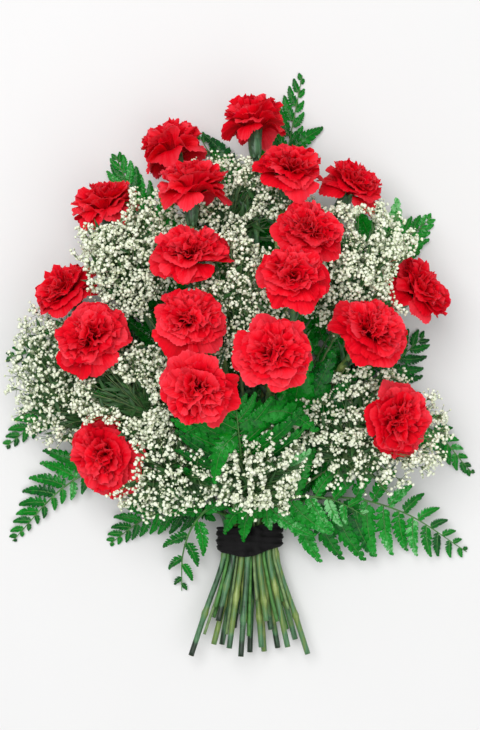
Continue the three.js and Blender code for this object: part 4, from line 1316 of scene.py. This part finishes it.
def ribbon_grid(settings):
    """The ribbon: a strip wound round the stems, each turn over the last and slanting the other way.

    At angle a the strip lies at the sleeve's radius plus a layer for each turn. Seen from the front it
    sags to a V in its middle and is gathered towards its sides; the narrower it is, the deeper its creases,
    which run the same way in every turn.
    """
    low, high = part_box("ribbon")
    heights = np.linspace(low[1] + 5 * MM, high[1] - 5 * MM, SLEEVE_LEVELS)
    middle, fits = sleeve_wall(heights)
    turns = settings.turns
    a = np.linspace(0, 2 * np.pi * turns, RIBBON_STEPS * turns)[:, None]
    w = np.linspace(-1, 1, RIBBON_ACROSS)[None, :]
    lap = a / (2 * np.pi)
    around = (a + RIBBON_START + np.pi) % (2 * np.pi) - np.pi
    front = np.clip(np.sin(around), 0, 1)
    slant = np.cos(np.pi * lap) * np.cos(around)
    pinch = 0.56 + 0.44 * front**0.8
    sag = 2.0 * np.cos(around) - 4.0 * front**2 + 3.4 * slant
    y = middle[1] + sag * MM + w * pinch * settings.width / 2
    level = np.clip((y - heights[0]) / (heights[1] - heights[0]), 0, SLEEVE_LEVELS - 1.001)
    lower = level.astype(int)
    walls = waves(around[:, 0]) @ fits.T
    base = mix(np.take_along_axis(walls, lower, 1), np.take_along_axis(walls, lower + 1, 1), level - lower)
    depth = 0.3 + 1.5 * (1 - pinch)
    creases = np.sin((y - middle[1]) / MM * 0.9 + 1.4 * np.cos(around) + 0.8 * np.sin(3 * around))
    creases = creases + 0.4 * np.sin((y - middle[1]) / MM * 2.1 + 3 * np.cos(2 * around))
    radius = base + (0.2 + 0.75 * lap + depth * creases) * MM
    points = threes(middle[0] + radius * np.cos(around), y, middle[2] + radius * np.sin(around))
    return points[None], threes(w, a / 8, 0)[None]


class BUNCH_OT_ribbon(bpy.types.Operator):
    """Make the black ribbon round the stems"""

    bl_idname = "bunch.ribbon"
    bl_label = "Ribbon"

    def execute(self, context):
        settings = context.scene.bunch_ribbon
        points, tags = ribbon_grid(settings)
        cloth = thin_sheets(points, settings.thickness, tags)
        piece = add_piece("ribbon_wound", [cloth], [ribbon_finish(settings)], ["ribbon"])
        length = length_of(points[0, :, RIBBON_ACROSS // 2])
        return {"FINISHED"}


# ---------------------------------------------------------------- stage


class BUNCH_OT_stage(bpy.types.Operator):
    """Make the floor, the light and the camera"""

    bl_idname = "bunch.stage"
    bl_label = "Stage"

    def execute(self, context):
        settings = context.scene.bunch_stage
        side = settings.floor_size / 2
        mesh = bpy.data.meshes.new("floor")
        corners = [(-side, -side, 0), (side, -side, 0), (side, side, 0), (-side, side, 0)]
        mesh.from_pydata(corners, [], [(0, 1, 2, 3)])
        finish = Finish("floor_pale", Roughness=0.9, Specular_IOR_Level=0.1)
        cloud = finish.object_noise(6)
        shade = finish.ramp(cloud, (0.2, scaled(settings.floor_pale, 0.985)), (0.8, settings.floor_pale))
        mesh.materials.append(finish.done(shade, cloud, 0.02))
        floor = bpy.data.objects.new("floor", mesh)
        context.collection.objects.link(floor)

        def lamp(name, spot, width, watts):
            """A square soft light of some width that stands at a spot and shines on the bunch."""
            light = bpy.data.lights.new(name, "AREA")
            light.size, light.energy = width, watts
            lit = bpy.data.objects.new(name, light)
            lit.location = spot
            aim = 0.1 * UP - np.array(spot)
            lit.rotation_mode = "QUATERNION"
            lit.rotation_quaternion = Vector(aim).to_track_quat("-Z", "Y")
            context.collection.objects.link(lit)

        lamp("key", (-0.55, 0.7, 2.6), 1.8, settings.key_watts)
        fill_share = 0.45
        lamp("fill", (0.9, -0.9, 2.4), 2.4, settings.key_watts * fill_share)
        world = bpy.data.worlds.new("surround")
        world.use_nodes = True
        surround = world.node_tree.nodes["Background"].inputs
        surround["Strength"].default_value = settings.world_light
        surround["Color"].default_value = (1, 1, 1, 1)
        context.scene.world = world
        context.scene.view_settings.view_transform = "Standard"

        camera = bpy.data.cameras.new("camera")
        camera.sensor_width = 36
        reach = settings.camera_height - settings.middle_plane
        camera.lens = camera.sensor_width * reach / settings.picture_height
        eye = bpy.data.objects.new("camera", camera)
        x, y, _ = placed([0, 0, 0])
        eye.location = (x, y, settings.camera_height)
        context.collection.objects.link(eye)
        context.scene.camera = eye
        return {"FINISHED"}


class BUNCH_PT_panel(bpy.types.Panel):
    """Lists what makes the bunch"""

    bl_idname = "BUNCH_PT_panel"
    bl_label = "Hand-tied bunch"
    bl_space_type = "VIEW_3D"
    bl_region_type = "UI"
    bl_category = "Bunch"

    def draw(self, context):
        for group in SETTINGS:
            box = self.layout.box()
            settings = getattr(context.scene, group)
            for name in settings.__annotations__:
                box.prop(settings, name)
            box.operator(group.replace("_", "."))


# Each group of settings is named after its operator, with a line where that has a dot.
SETTINGS = {
    "bunch_stage": StageSettings,
    "bunch_carnations": CarnationSettings,
    "bunch_fern": FernSettings,
    "bunch_gypsophila": GypsophilaSettings,
    "bunch_ribbon": RibbonSettings,
}
CLASSES = [
    *SETTINGS.values(),
    BUNCH_OT_stage,
    BUNCH_OT_carnations,
    BUNCH_OT_fern,
    BUNCH_OT_gypsophila,
    BUNCH_OT_ribbon,
    BUNCH_PT_panel,
]


def register():
    """Registers the classes and gives the scene its settings."""
    for kind in CLASSES:
        bpy.utils.register_class(kind)
    for name, kind in SETTINGS.items():
        setattr(bpy.types.Scene, name, PointerProperty(type=kind))


def unregister():
    """Takes the settings and the classes away again."""
    for name in SETTINGS:
        delattr(bpy.types.Scene, name)
    for kind in reversed(CLASSES):
        bpy.utils.unregister_class(kind)


def main():
    register()
    bpy.ops.bunch.stage()
    bpy.ops.bunch.carnations()
    bpy.ops.bunch.fern()
    bpy.ops.bunch.gypsophila()
    bpy.ops.bunch.ribbon()


if __name__ == "__main__":
    main()
